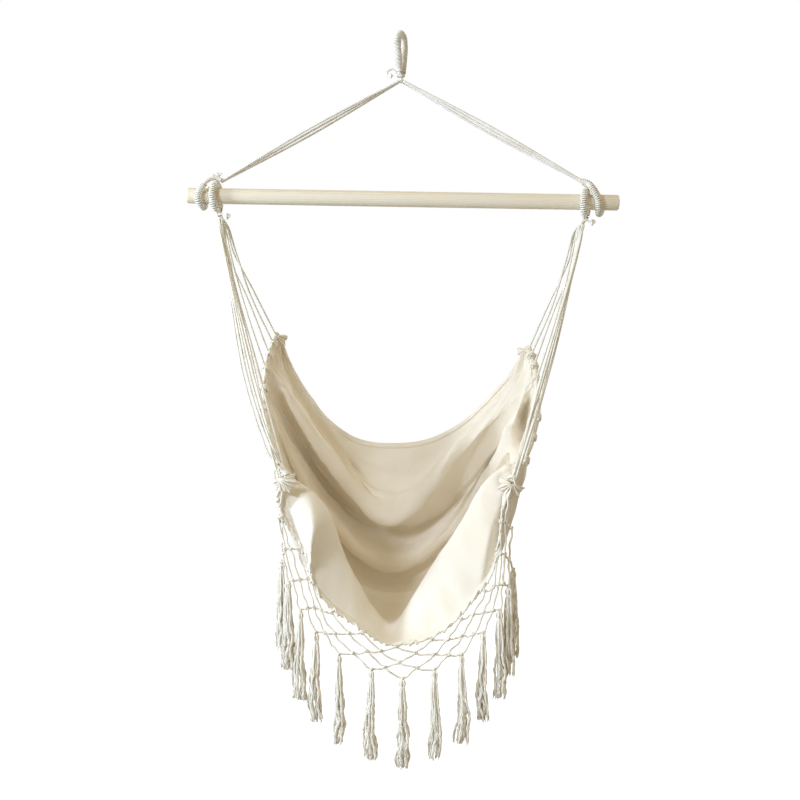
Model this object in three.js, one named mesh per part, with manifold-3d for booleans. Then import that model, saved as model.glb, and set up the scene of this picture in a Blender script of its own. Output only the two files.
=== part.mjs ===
// Hammock chair: a cotton canvas sling with a netted fringe and tassels, hung by two clews of cord
// from a round wooden spreader bar, which a bridle of cords carries from one wrapped hanging eye.
// Millimetres, +Z up, the sitter faces -Y. The origin is where a hook bears, at the inside top of
// the hanging eye.
import * as THREE from "three";
import { mergeVertices } from "three/addons/utils/BufferGeometryUtils.js";
import Module from "manifold-3d";

const wasm = await Module();
wasm.setup();

// Driving sizes of the whole chair
const barLength = 1000;
const barDiameter = 36;
const barDrop = 374; // from the hook's bearing point down to the bar's axis
const loopInset = 72; // from each end of the bar to the plane of its clew loop
const slingWidth = 640; // across the widest part of the side edges
const slingDepth = 325; // from the back corners to the front corners
const slingSetBack = 40.4; // the sling's middle hangs this far behind the bar, so that it balances
const backCornerDrop = 700; // from the hook's bearing point to the back corners
const sideDrop = 322; // from the back corners down to the front corners
const backSag = 246; // the back hem hangs this far below its corners
const bellyDrop = 424; // from the low point of the back hem to the low point of the front hem

// Working clearance between pieces that touch on the real chair
const seatGap = 0.35;

// Spreader bar
const barEndRound = 4;
const barTilt = THREE.MathUtils.degToRad(0.95); // the left end hangs higher, as photographed
const barSlip = 4.4; // the bar sits this far to the right of the eye
const barSides = 32;

// How finely ropes and cords are faceted
const ropeSides = 8;
const tailSides = 6;
const twineSides = 5;
const loopSteps = 30;
const cordSteps = 8;
const shortCordSteps = 5;

// Whipping twine, and the ropes that it is wound on
const twineDiameter = 2.6;
const eyeCoreDiameter = 9;
const bridleLoopCoreDiameter = 8.6;
const clewLoopCoreDiameter = 9.4;

// Hanging eye
const eyeHalfWidth = 20; // to the rope's centreline
const eyeThroatDrop = 86; // from the bearing point to the ends of the eye's legs
const eyeTurn = THREE.MathUtils.degToRad(67); // the eye is seen nearly edge on from the front
const eyeTurns = 16;
const eyeWhippedShares = [0.05, 0.95];
const eyeTailDiameter = 6.5;
const eyeTailReach = 23;
const eyeTailHeight = 25;

// Whipped collar under the eye, which the chair turns about, and the round seizing below it, which
// the rope bends about
const seizingDiameter = 13;
const collarDiameter = 20;
const collarHeight = 6;
const collarSides = 12;

// Bridle
const bridleCordDiameter = 6;
const bridleCordGap = 0.5;
const bridleSpread = 5; // how far the outer cords bow away half way down
const bridleLoopTurns = { left: 9, right: 12 };
const bridleLoopWhippedShares = { left: [0.2, 0.8], right: [0.03, 0.97] };
const bridleLoopRises = { left: -0.3, right: 0.5 }; // how steeply its legs meet the bridle's cords
const bridleLoopBesideClew = 4; // room between the two loops at one end of the bar
const bridleLoopOut = 33; // how far outside the clew loop the bridle's loop lies on the bar
const bridleLoopEntry = 14; // how far inside the clew loop the bridle's cords come in

// Clew loops and necks
const clewLoopTurns = 10;
const clewLoopWhippedShares = [0.2, 0.8];
const loopTwists = { left: 5, right: 8 }; // how far to the left a loop's front leg lies on the bar
const neckTop = 38; // below the bar's axis
const neckBottom = 56; // below the bar's axis
const neckLean = 12; // the neck is drawn inward by the cords
const neckHalfDepth = 10.5;
const neckHalfWidth = 7.2;
const clewTailDiameter = 4.2;
const clewTailKnot = 8.5;
const clewTailReach = 24;

// Clew cords, as shares of the side edge from the back corner to the front one
const cordDiameter = 4;
const cordGap = 0.5;
const cordShares = [0.012, 0.075, 0.16, 0.27, 0.4, 0.535, 0.68, 0.84, 0.985];
const cordBow = 5;
const netCordBow = 13;

// Sling
const clothThickness = 2;
const edgeRopeDiameter = 8;
const clothAcrossCells = 14;
const clothAlongCells = 32;

// Fringe
const netCordDiameter = 3;
const netRows = 4;
const netDrop = 77; // from the front hem to the tassels, in the middle
const netHemGap = 0.6;
const tasselLength = 195;
const tasselDiameter = 22;
const tasselNeckDiameter = 8;
const tasselHeadDiameter = 13;
const tasselHeadHeight = 16;
const tasselSides = 8;

// Side edge of the sling: the share of half its width, then of its depth and of the drop from the
// back corner to the front one
const leftEdgeShares = [
  [0.95, 0.5, -0.05],
  [1.0, 0.27, 0.165],
  [1.0, 0.02, 0.46],
  [0.925, -0.26, 0.745],
  [0.79, -0.5, 0.985],
];
const rightEdgeShares = [
  [0.97, 0.5, 0.05],
  [1.0, 0.27, 0.24],
  [0.995, 0.02, 0.51],
  [0.91, -0.26, 0.78],
  [0.76, -0.5, 1.015],
];
// Middle of the sling from the back hem to the front one, with its hanging folds: shares of the
// depth, and of the drop from one hem to the other
const middleShares = [
  [0.55, 0],
  [0.51, 0.132],
  [0.425, 0.274],
  [0.345, 0.387],
  [0.345, 0.443],
  [0.46, 0.476],
  [0.54, 0.51],
  [0.46, 0.585],
  [0.32, 0.646],
  [0.308, 0.698],
  [0.43, 0.741],
  [0.418, 0.797],
  [0.283, 0.863],
  [0.123, 0.915],
  [-0.06, 0.943],
  [-0.245, 0.945],
  [-0.43, 0.955],
  [-0.605, 1],
];
// How each line across the sling hangs on either side of its middle, by its share of the way from back
// to front: the power of the sag, the share of the height that is taken near the edge, where the cloth
// hangs steeply, how much it stands above that beside the edge, and the power of the change in depth.
// Row 0.25 is the crest of the back's drape, and row 0.885 the lip of the two front flaps.
const leftHangShares = [
  { along: 0, power: 2.2, steep: 0, peak: 0, depthPower: 2.4 },
  { along: 0.25, power: 1.2, steep: 0, peak: 0, depthPower: 4 },
  { along: 0.315, power: 1.75, steep: 0, peak: 0, depthPower: 4 },
  { along: 0.5, power: 1.5, steep: 0.05, peak: 0, depthPower: 4 },
  { along: 0.63, power: 1.6, steep: 0.4, peak: 0, depthPower: 3 },
  { along: 0.77, power: 1.6, steep: 0.55, peak: 0, depthPower: 2 },
  { along: 0.885, power: 0.95, steep: 0, peak: 0.5, depthPower: 1.5 },
  { along: 1, power: 1.2, steep: 0.58, peak: 0, depthPower: 1.7 },
];
const rightHangShares = [
  { along: 0, power: 2, steep: 0, peak: 0, depthPower: 2.4 },
  { along: 0.25, power: 0.95, steep: 0, peak: 0, depthPower: 4 },
  { along: 0.315, power: 1.75, steep: 0, peak: 0, depthPower: 4 },
  { along: 0.5, power: 1.6, steep: 0.05, peak: 0, depthPower: 4 },
  { along: 0.63, power: 1.6, steep: 0.4, peak: 0, depthPower: 3 },
  { along: 0.77, power: 1.5, steep: 0.55, peak: 0, depthPower: 2 },
  { along: 0.885, power: 0.75, steep: 0, peak: 1.6, depthPower: 1.5 },
  { along: 1, power: 1.4, steep: 0.58, peak: 0, depthPower: 1.7 },
];
const steepPower = 8;
const peakPower = 4;
const middleRounding = 0.09; // how widely the lines are rounded at the middle
const middleOffCentre = -22; // the low line of the sling hangs this far to the left

// Where the tassels hang, from left to right: shares of half the sling's width, of its depth, and
// of the rise from the middle tassel's top to the front corners
const tasselShares = [
  [-0.835, -0.44, 0.575],
  [-0.78, -0.535, 0.49],
  [-0.695, -0.57, 0.34],
  [-0.585, -0.6, 0.23],
  [-0.427, -0.625, 0.12],
  [-0.203, -0.64, 0.045],
  [0.008, -0.645, 0],
  [0.23, -0.64, 0.045],
  [0.415, -0.625, 0.12],
  [0.565, -0.6, 0.228],
  [0.68, -0.57, 0.34],
  [0.745, -0.535, 0.46],
  [0.785, -0.435, 0.54],
];
const tasselRise = 425;

// Materials
const cottonRope = new THREE.MeshStandardMaterial({ color: 0xe6e0cd, roughness: 0.92, metalness: 0 });
const cottonTwine = new THREE.MeshStandardMaterial({ color: 0xece7d8, roughness: 0.9, metalness: 0 });
const canvas = new THREE.MeshStandardMaterial({ color: 0xe9dfc6, roughness: 0.95, metalness: 0 });
const pine = new THREE.MeshStandardMaterial({ color: 0xdccba3, roughness: 0.6, metalness: 0 });

// Values worked out from the sizes above
const barRadius = barDiameter / 2;
const windingSteps = 8; // to a turn
// The steps' flats dip inside the circle, so the corners stand out by that much
const windingReach = (coreDiameter) =>
  (coreDiameter / 2 + seatGap + twineDiameter / 2) / Math.cos(Math.PI / windingSteps);
const wound = (coreDiameter) => windingReach(coreDiameter) + twineDiameter / 2;
const eyeRopeRadius = wound(eyeCoreDiameter);
const bridleLoopRadius = wound(bridleLoopCoreDiameter);
const clewLoopRadius = wound(clewLoopCoreDiameter);
const seizingRadius = seizingDiameter / 2;
const seizingDrop = eyeThroatDrop + collarHeight + 2 * seatGap + seizingRadius;
const halfSling = slingWidth / 2;
const chair = new THREE.Group();

function place(name, geometry, material) {
  const mesh = new THREE.Mesh(geometry, material);
  mesh.name = name;
  chair.add(mesh);
  return mesh;
}

// A closed BufferGeometry from points and faces
function shell(points, faces) {
  const geometry = new THREE.BufferGeometry();
  const numbers = points.flatMap((p) => [p.x, p.y, p.z]);
  geometry.setAttribute("position", new THREE.Float32BufferAttribute(numbers, 3));
  geometry.setIndex(faces.flat());
  return geometry;
}

// A manifold-3d solid from a three.js geometry, and back
function solidOf(geometry) {
  const bare = geometry.clone();
  bare.deleteAttribute("normal");
  bare.deleteAttribute("uv");
  const merged = mergeVertices(bare);
  const vertProperties = new Float32Array(merged.attributes.position.array);
  const triVerts = new Uint32Array(merged.index.array);
  return new wasm.Manifold(new wasm.Mesh({ numProp: 3, vertProperties, triVerts }));
}

function geometryOf(solid) {
  const mesh = solid.getMesh();
  const geometry = new THREE.BufferGeometry();
  geometry.setAttribute("position", new THREE.BufferAttribute(mesh.vertProperties, 3));
  geometry.setIndex(new THREE.BufferAttribute(mesh.triVerts, 1));
  return geometry;
}

// A regular polygon to sweep along a path
function roundSection(radius, sides) {
  const corners = [];
  for (let i = 0; i < sides; i++) {
    const angle = (2 * Math.PI * i) / sides;
    corners.push(new THREE.Vector2(radius * Math.cos(angle), radius * Math.sin(angle)));
  }
  return new THREE.Shape(corners);
}

function tube(curve, radius, sides, steps) {
  return new THREE.ExtrudeGeometry(roundSection(radius, sides), { steps, extrudePath: curve });
}

// Turn-free frames along a list of points
function framesAlong(points) {
  const frames = [];
  const first = points[1].clone().sub(points[0]);
  const upright = Math.abs(first.x) < Math.abs(first.z);
  let normal = new THREE.Vector3(upright ? 1 : 0, 0, upright ? 0 : 1);
  for (let i = 0; i < points.length; i++) {
    const before = points[Math.max(i - 1, 0)];
    const after = points[Math.min(i + 1, points.length - 1)];
    const tangent = after.clone().sub(before).normalize();
    normal = normal.clone().addScaledVector(tangent, -normal.dot(tangent)).normalize();
    frames.push({ tangent, normal, side: tangent.clone().cross(normal) });
  }
  return frames;
}

// A closed tube through a list of points, with a radius at each
function tubeThrough(points, radii, sides) {
  const frames = framesAlong(points);
  const vertices = [];
  const faces = [];
  points.forEach((point, i) => {
    for (let k = 0; k < sides; k++) {
      const angle = (2 * Math.PI * k) / sides;
      vertices.push(
        point
          .clone()
          .addScaledVector(frames[i].normal, radii[i] * Math.cos(angle))
          .addScaledVector(frames[i].side, radii[i] * Math.sin(angle)),
      );
    }
  });
  const last = (points.length - 1) * sides;
  for (let i = 0; i < last; i += sides) {
    for (let k = 0; k < sides; k++) {
      const next = (k + 1) % sides;
      faces.push([i + k, i + next, i + sides + next], [i + k, i + sides + next, i + sides + k]);
    }
  }
  for (let k = 1; k < sides - 1; k++) {
    faces.push([0, k + 1, k], [last, last + k, last + k + 1]);
  }
  return shell(vertices, faces);
}

// One unbroken twine wound on a rope: a helix round the rope's centreline, and its least gap to
// itself, measured between points more than half a turn apart
function winding(curve, coreDiameter, turns, [from, to]) {
  const count = turns * windingSteps;
  const reach = windingReach(coreDiameter);
  const centres = [];
  for (let i = 0; i <= count; i++) {
    centres.push(curve.getPointAt(from + ((to - from) * i) / count));
  }
  const frames = framesAlong(centres);
  const points = centres.map((centre, i) => {
    const angle = (2 * Math.PI * i) / windingSteps;
    return centre
      .clone()
      .addScaledVector(frames[i].normal, reach * Math.cos(angle))
      .addScaledVector(frames[i].side, reach * Math.sin(angle));
  });
  let least = Infinity;
  for (let i = 0; i < points.length; i++) {
    for (let j = i + windingSteps / 2 + 1; j < points.length; j++) {
      least = Math.min(least, points[i].distanceTo(points[j]));
    }
  }
  const geometry = tubeThrough(points, points.map(() => twineDiameter / 2), twineSides);
  return { geometry, gap: least - twineDiameter };
}

// Spreader bar, a turned dowel with its ends rounded over
const barEndX = barLength / 2;
const barProfile = [
  [0, -barEndX],
  [barRadius - barEndRound, -barEndX],
  [barRadius - barEndRound * (1 - Math.SQRT1_2), -barEndX + barEndRound * (1 - Math.SQRT1_2)],
  [barRadius, -barEndX + barEndRound],
  [barRadius, barEndX - barEndRound],
  [barRadius - barEndRound * (1 - Math.SQRT1_2), barEndX - barEndRound * (1 - Math.SQRT1_2)],
  [barRadius - barEndRound, barEndX],
  [0, barEndX],
].map(([radius, height]) => new THREE.Vector2(radius, height));
const lyingDowel = new THREE.LatheGeometry(barProfile, barSides).rotateZ(-Math.PI / 2);
const bar = place("spreader_bar", lyingDowel, pine);
bar.rotation.y = barTilt;
bar.position.set(barSlip, 0, -barDrop);

// The bar's axis at a distance from the middle, on the bar's own line
const barAxisAt = (x) => new THREE.Vector3(x, 0, -barDrop - (x - barSlip) * Math.tan(barTilt));

// Hanging eye: two legs rise from the throat and meet over the hook
const eyeOut = new THREE.Vector3(Math.cos(eyeTurn), Math.sin(eyeTurn), 0);
const eyeLegHalf = eyeRopeRadius + seatGap;
function eyePath() {
  const top = eyeRopeRadius;
  const arcCentre = top - eyeHalfWidth;
  const half = [
    [eyeLegHalf, -eyeThroatDrop],
    [eyeLegHalf, -eyeThroatDrop + eyeRopeRadius],
    [eyeLegHalf + (eyeHalfWidth - eyeLegHalf) * 0.55, (arcCentre - eyeThroatDrop) / 2],
    [eyeHalfWidth, arcCentre],
    [eyeHalfWidth * Math.SQRT1_2, arcCentre + eyeHalfWidth * Math.SQRT1_2],
  ];
  const points = half.map(([w, z]) => eyeOut.clone().multiplyScalar(-w).setZ(z));
  points.push(new THREE.Vector3(0, 0, top));
  points.push(...half.map(([w, z]) => eyeOut.clone().multiplyScalar(w).setZ(z)).reverse());
  return new THREE.CatmullRomCurve3(points, false, "centripetal");
}
const eyeCurve = eyePath();
place("hanging_eye_core", tube(eyeCurve, eyeCoreDiameter / 2, ropeSides, loopSteps), cottonRope);
const eyeWinding = winding(eyeCurve, eyeCoreDiameter, eyeTurns, eyeWhippedShares);
place("hanging_eye_whipping", eyeWinding.geometry, cottonTwine);

// Whipping's tail, a small curl beside the throat
function eyeTail() {
  const half = eyeTailDiameter / 2;
  const leg = eyeOut.clone().multiplyScalar(-eyeLegHalf);
  const near = leg.x - eyeCoreDiameter / 2 - 2.5 * seatGap;
  const points = [
    [0, 0.1],
    [0.14, 0.13],
    [0.34, 0.4],
    [0.68, 0.42],
    [0.96, 0.24],
    [1, 0],
    [0.86, -0.2],
    [0.62, -0.25],
  ].map(([out, up]) => {
    return new THREE.Vector3(near - out * eyeTailReach, leg.y, -eyeThroatDrop + up * eyeTailHeight);
  });
  return tube(new THREE.CatmullRomCurve3(points), half, tailSides, cordSteps);
}
place("hanging_eye_tail", eyeTail(), cottonTwine);

// Collar round the ends of the eye's legs: turned about the vertical line under the hook
function collar() {
  const radius = collarDiameter / 2;
  const profile = [
    [0, 0],
    [radius * 0.8, 0],
    [radius, collarHeight * 0.25],
    [radius, collarHeight * 0.75],
    [radius * 0.8, collarHeight],
    [0, collarHeight],
  ].map(([r, h]) => new THREE.Vector2(r, h));
  return new THREE.LatheGeometry(profile, collarSides).rotateX(Math.PI / 2);
}
const throatCollar = place("throat_collar", collar(), cottonTwine);
throatCollar.position.z = -eyeThroatDrop - seatGap - collarHeight;

// Round seizing that gathers the bridle's cords under the collar
const seizingCentre = new THREE.Vector3(0, 0, -seizingDrop);
const seizingBall = new THREE.SphereGeometry(seizingRadius, collarSides, ropeSides);
const seizing = place("throat_seizing", seizingBall, cottonTwine);
seizing.position.copy(seizingCentre);

// One end of the bar: out points away from the middle along the bar
function endFrame(sideName, side) {
  const station = barAxisAt(side * (barLength / 2 - loopInset));
  const out = new THREE.Vector3(side * Math.cos(barTilt), 0, -side * Math.sin(barTilt));
  const up = new THREE.Vector3(Math.sin(barTilt), 0, Math.cos(barTilt));
  const twist = (side * loopTwists[sideName]) / (barRadius + clewLoopRadius);
  const at = (outward, y, height) =>
    station.clone().addScaledVector(out, outward + y * twist).addScaledVector(up, height).setY(y);
  return { side, sideName, station, at };
}

// The clew's loop over the bar, from one leg of the neck to the other
function clewLoopPath(end) {
  const ring = barRadius + 2 * seatGap + clewLoopRadius;
  const leg = clewLoopCoreDiameter / 2 + seatGap;
  const half = [
    [-neckLean, -leg, -neckBottom],
    [-neckLean * 0.62, -leg, -(neckTop + neckBottom) / 2],
    [-neckLean * 0.3, -leg - clewLoopRadius * 0.45, -neckTop + clewLoopRadius * 0.2],
    [-neckLean * 0.08, -ring * 0.83, -ring * 0.8],
    [0, -ring, 0],
    [0, -ring * Math.SQRT1_2, ring * Math.SQRT1_2],
  ];
  const points = half.map(([o, y, z]) => end.at(o, y, z));
  points.push(end.at(0, 0, ring));
  points.push(...half.map(([o, y, z]) => end.at(o, -y, z)).reverse());
  return new THREE.CatmullRomCurve3(points, false, "centripetal");
}

// The sleeve of twine round both legs of the neck
function neckSleeve(end) {
  const rows = 4;
  const around = 12;
  const vertices = [];
  const faces = [];
  for (let i = 0; i <= rows; i++) {
    const t = i / rows;
    const swell = 0.9 + 0.1 * Math.sin(Math.PI * t);
    const centre = end.at(-neckLean * (0.45 + 0.55 * t), 0, -neckTop - (neckBottom - neckTop) * t);
    for (let k = 0; k < around; k++) {
      const angle = (2 * Math.PI * k) / around;
      const width = neckHalfWidth * swell * Math.cos(angle);
      const depth = neckHalfDepth * swell * Math.sin(angle);
      vertices.push(centre.clone().add(new THREE.Vector3(width, depth, 0)));
    }
  }
  const last = rows * around;
  for (let i = 0; i < last; i += around) {
    for (let k = 0; k < around; k++) {
      const next = (k + 1) % around;
      faces.push([i + k, i + around + next, i + next], [i + k, i + around + k, i + around + next]);
    }
  }
  for (let k = 1; k < around - 1; k++) {
    faces.push([0, k, k + 1], [last, last + k + 1, last + k]);
  }
  return shell(vertices, faces);
}

// The bridle's loop: over the clew's loop, down the front and back of the bar and under it
function bridleLoopPath(end) {
  const overBar = barRadius + seatGap + bridleLoopRadius;
  const rise = bridleLoopRises[end.sideName];
  const legRadius = rise > 0 ? bridleLoopRadius : bridleLoopCoreDiameter / 2;
  const overClew = barRadius + 3 * seatGap + 2 * clewLoopRadius + legRadius;
  const legAside = bridleLoopRadius + seatGap;
  const beside = clewLoopRadius + bridleLoopBesideClew + bridleLoopRadius;
  const half = [
    [-bridleLoopEntry, -legAside, overClew + bridleLoopEntry * rise],
    [-bridleLoopEntry * 0.35, -legAside, overClew + bridleLoopEntry * Math.max(rise, 0) * 0.36],
    [beside * 0.45, -overBar * 0.5, overClew * 0.93],
    [beside, -overBar * 0.86, overBar * 0.98],
    [bridleLoopOut, -overBar, 0],
    [bridleLoopOut * 0.98, -overBar * 0.72, -overBar * 0.72],
  ];
  const points = half.map(([o, y, z]) => end.at(o, y, z));
  points.push(end.at(bridleLoopOut * 0.92, 0, -overBar));
  points.push(...half.map(([o, y, z]) => end.at(o, -y, z)).reverse());
  return new THREE.CatmullRomCurve3(points, false, "centripetal");
}

// Three cords from the seizing to the ends of the bridle's loop
function bridleCords(end, sideName, loopCurve) {
  const legs = loopCurve.getPointAt(0).add(loopCurve.getPointAt(1)).multiplyScalar(0.5);
  const direction = legs.clone().sub(seizingCentre).normalize();
  const pitch = bridleCordDiameter + bridleCordGap;
  const start = seizingCentre.clone().addScaledVector(direction, seizingRadius + seatGap);
  const short = [0, 1].map((share) => {
    const off = legs.clone().sub(loopCurve.getPointAt(share)).dot(direction);
    const along = loopCurve.getTangentAt(share).dot(direction);
    return off + (bridleLoopCoreDiameter / 2) * Math.sqrt(1 - along * along);
  });
  const stop = legs.clone().addScaledVector(direction, -2 * seatGap - Math.max(...short));
  const across = new THREE.Vector3(0, 1, 0);
  const over = direction.clone().cross(across).normalize();
  [-1, 0, 1].forEach((k, i) => {
    const middle = start.clone().lerp(stop, 0.5);
    middle.addScaledVector(across, k * (pitch + bridleSpread)).addScaledVector(over, k * bridleSpread);
    const curve = new THREE.CatmullRomCurve3([
      start.clone().addScaledVector(across, k * pitch),
      middle,
      stop.clone().addScaledVector(across, k * pitch),
    ]);
    const cord = tube(curve, bridleCordDiameter / 2, ropeSides, cordSteps);
    place(`${sideName}_bridle_cord_${i + 1}`, cord, cottonRope);
  });
}

// A short tail of twine with a knot in its end, at the neck
function clewTail(end) {
  const y = -(neckHalfDepth + seatGap + clewTailDiameter / 2);
  const root = end.at(-neckLean * 0.6, 0, -neckBottom + clewTailKnot);
  const points = [
    [0, 0],
    [0.3, 0.16],
    [0.55, 0.1],
    [0.72, 0.02],
    [0.85, -0.02],
    [1, -0.04],
  ].map(([a, b]) => new THREE.Vector3(root.x + a * clewTailReach, y, root.z + b * clewTailReach));
  const twine = clewTailDiameter / 2;
  const radii = [twine, twine, twine, twine, clewTailKnot / 2, twine * 1.2];
  return tubeThrough(points, radii, tailSides);
}

const windings = [["hanging_eye_whipping", eyeWinding.gap]];
const ends = { left: endFrame("left", -1), right: endFrame("right", 1) };
for (const [sideName, end] of Object.entries(ends)) {
  const clewCurve = clewLoopPath(end);
  const clewRope = tube(clewCurve, clewLoopCoreDiameter / 2, ropeSides, loopSteps);
  const core = solidOf(clewRope).add(solidOf(neckSleeve(end)));
  place(`${sideName}_clew_loop`, geometryOf(core), cottonRope);
  const clewWinding = winding(clewCurve, clewLoopCoreDiameter, clewLoopTurns, clewLoopWhippedShares);
  place(`${sideName}_clew_whipping`, clewWinding.geometry, cottonTwine);
  place(`${sideName}_clew_tail`, clewTail(end), cottonTwine);

  const bridleCurve = bridleLoopPath(end);
  const bridleRope = tube(bridleCurve, bridleLoopCoreDiameter / 2, ropeSides, loopSteps);
  place(`${sideName}_bridle_loop`, bridleRope, cottonRope);
  const bridleWinding = winding(
    bridleCurve,
    bridleLoopCoreDiameter,
    bridleLoopTurns[sideName],
    bridleLoopWhippedShares[sideName],
  );
  place(`${sideName}_bridle_whipping`, bridleWinding.geometry, cottonTwine);
  bridleCords(end, sideName, bridleCurve);
  windings.push([`${sideName}_clew_whipping`, clewWinding.gap]);
  windings.push([`${sideName}_bridle_whipping`, bridleWinding.gap]);
}
for (const [name, gap] of windings) {
  console.log(`${name}: least gap to itself ${gap.toFixed(2)} mm`);
}

// Sling: the side edges, the middle with its folds, and the lines that hang across between them
const slingPoint = (x, depth, drop) => new THREE.Vector3(x, slingSetBack + depth * slingDepth, -drop);
function edgeCurve(side, shares) {
  const points = shares.map(([out, depth, drop]) =>
    slingPoint(side * out * halfSling, depth, backCornerDrop + drop * sideDrop),
  );
  return new THREE.CatmullRomCurve3(points, false, "centripetal");
}
const edges = { left: edgeCurve(-1, leftEdgeShares), right: edgeCurve(1, rightEdgeShares) };
const middlePoints = middleShares.map(([depth, drop]) =>
  slingPoint(middleOffCentre, depth, backCornerDrop + backSag + drop * bellyDrop),
);
const middle = new THREE.CatmullRomCurve3(middlePoints, false, "centripetal");

// A value from a table, between its rows
function fromTable(table, at, key) {
  const next = Math.max(1, table.findIndex((row) => row.along >= at));
  const [a, b] = [table[next - 1], table[next]];
  const t = (at - a.along) / (b.along - a.along);
  return a[key] + (b[key] - a[key]) * t * t * (3 - 2 * t);
}

// Half of a line across the sling, from the middle to one edge
const rounded = (share) => Math.hypot(share, middleRounding) - middleRounding;
function halfLine(low, edge, along, table) {
  const power = fromTable(table, along, "power");
  const steep = fromTable(table, along, "steep");
  const peak = fromTable(table, along, "peak");
  const depthPower = fromTable(table, along, "depthPower");
  return (share) => {
    const out = rounded(share) / rounded(1);
    const rise =
      (1 - steep) * out ** power + steep * out ** steepPower + peak * out ** peakPower * (1 - out);
    return new THREE.Vector3(
      low.x + (edge.x - low.x) * share,
      low.y + (edge.y - low.y) * share ** depthPower,
      low.z + (edge.z - low.z) * rise,
    );
  };
}

// A whole line across the sling, as points an equal way apart
function lineAcross(along, cells) {
  const samples = 60;
  const low = middle.getPointAt(along);
  const left = halfLine(low, edges.left.getPointAt(along), along, leftHangShares);
  const right = halfLine(low, edges.right.getPointAt(along), along, rightHangShares);
  const dense = [];
  for (let i = samples; i > 0; i--) dense.push(left(i / samples));
  for (let i = 0; i <= samples; i++) dense.push(right(i / samples));
  const lengths = [0];
  for (let i = 1; i < dense.length; i++) {
    lengths.push(lengths[i - 1] + dense[i].distanceTo(dense[i - 1]));
  }
  const points = [];
  let at = 1;
  for (let i = 0; i <= cells; i++) {
    const wanted = (lengths.at(-1) * i) / cells;
    while (at < dense.length - 1 && lengths[at] < wanted) at++;
    const t = (wanted - lengths[at - 1]) / (lengths[at] - lengths[at - 1]);
    points.push(dense[at - 1].clone().lerp(dense[at], t));
  }
  return points;
}

// A sheet of cloth on a grid of points, thickened both ways along its normals
function clothSolid(rows) {
  const across = rows[0].length;
  const clamped = (i, count) => Math.min(Math.max(i, 0), count - 1);
  const point = (i, j) => rows[clamped(i, rows.length)][clamped(j, across)];
  const upper = [];
  const lower = [];
  for (let i = 0; i < rows.length; i++) {
    for (let j = 0; j < across; j++) {
      const along = point(i + 1, j).clone().sub(point(i - 1, j));
      const side = point(i, j + 1).clone().sub(point(i, j - 1));
      const normal = side.cross(along).normalize().multiplyScalar(clothThickness / 2);
      upper.push(rows[i][j].clone().sub(normal));
      lower.push(rows[i][j].clone().add(normal));
    }
  }
  const faces = [];
  const lowerAt = upper.length;
  const id = (i, j) => i * across + j;
  for (let i = 0; i < rows.length - 1; i++) {
    for (let j = 0; j < across - 1; j++) {
      const [a, b, c, d] = [id(i, j), id(i, j + 1), id(i + 1, j + 1), id(i + 1, j)];
      faces.push([a, c, b], [a, d, c]);
      faces.push([a + lowerAt, b + lowerAt, c + lowerAt], [a + lowerAt, c + lowerAt, d + lowerAt]);
    }
  }
  const rim = [];
  for (let j = 0; j < across - 1; j++) rim.push([id(0, j), id(0, j + 1)]);
  for (let i = 0; i < rows.length - 1; i++) rim.push([id(i, across - 1), id(i + 1, across - 1)]);
  for (let j = across - 1; j > 0; j--) rim.push([id(rows.length - 1, j), id(rows.length - 1, j - 1)]);
  for (let i = rows.length - 1; i > 0; i--) rim.push([id(i, 0), id(i - 1, 0)]);
  for (const [a, b] of rim) faces.push([a, b, b + lowerAt], [a, b + lowerAt, a + lowerAt]);
  return shell([...upper, ...lower], faces);
}
const clothRows = [];
for (let i = 0; i <= clothAlongCells; i++) clothRows.push(lineAcross(i / clothAlongCells, clothAcrossCells));
place("sling_cloth", clothSolid(clothRows), canvas);

// Edge ropes, rolled in the side hems, just outside the cloth
const edgeRopeRadius = edgeRopeDiameter / 2;
const edgeRopes = {};
for (const [sideName, side] of [["left", -1], ["right", 1]]) {
  const steps = 14;
  const points = [];
  for (let i = 0; i <= steps; i++) {
    const row = lineAcross(i / steps, clothAcrossCells);
    const [last, before] = side < 0 ? [row[0], row[1]] : [row.at(-1), row.at(-2)];
    const outward = last.clone().sub(before).normalize();
    points.push(last.clone().addScaledVector(outward, clothThickness + 3 * seatGap + edgeRopeRadius));
  }
  edgeRopes[sideName] = new THREE.CatmullRomCurve3(points, false, "centripetal");
  const rope = tube(edgeRopes[sideName], edgeRopeRadius, ropeSides, loopSteps);
  place(`${sideName}_edge_rope`, rope, cottonRope);
}

// Clew cords: a fan from under the neck to the edge rope, in two staggered rows at the neck
function cordStart(end, index, count) {
  const pitch = cordDiameter + cordGap;
  const row = index % 2 ? 0.5 : -0.5;
  const y = ((count - 1) / 2 - index) * pitch * 0.52;
  const centre = end.at(-neckLean, 0, -neckBottom);
  return new THREE.Vector3(centre.x + end.side * row * pitch, y, centre.z - seatGap - cordDiameter * 0.55);
}

// Fringe net: knots in rows from the front hem down to the tassels
const tasselCount = tasselShares.length;
const hemPoints = lineAcross(1, 2 * (tasselCount - 1));
const aboveHem = lineAcross(1 - 1 / clothAlongCells, 2 * (tasselCount - 1));
const tasselDrop = backCornerDrop + backSag + bellyDrop + netDrop;
const tasselTops = tasselShares.map(([out, depth, rise]) =>
  slingPoint(out * halfSling, depth, tasselDrop - rise * tasselRise),
);
const tasselCurve = new THREE.CatmullRomCurve3(tasselTops, false, "centripetal");

// A knot's place: row 0 is at the hem and the last row at the tassels, and column counts in halves
function knotPlace(row, column) {
  const hem = hemPoints[column * 2];
  const outward = hem.clone().sub(aboveHem[column * 2]).normalize();
  const start = hem.clone().addScaledVector(outward, clothThickness + netHemGap + netCordDiameter);
  return start.lerp(tasselCurve.getPoint(column / (tasselCount - 1)), row / netRows);
}

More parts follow.
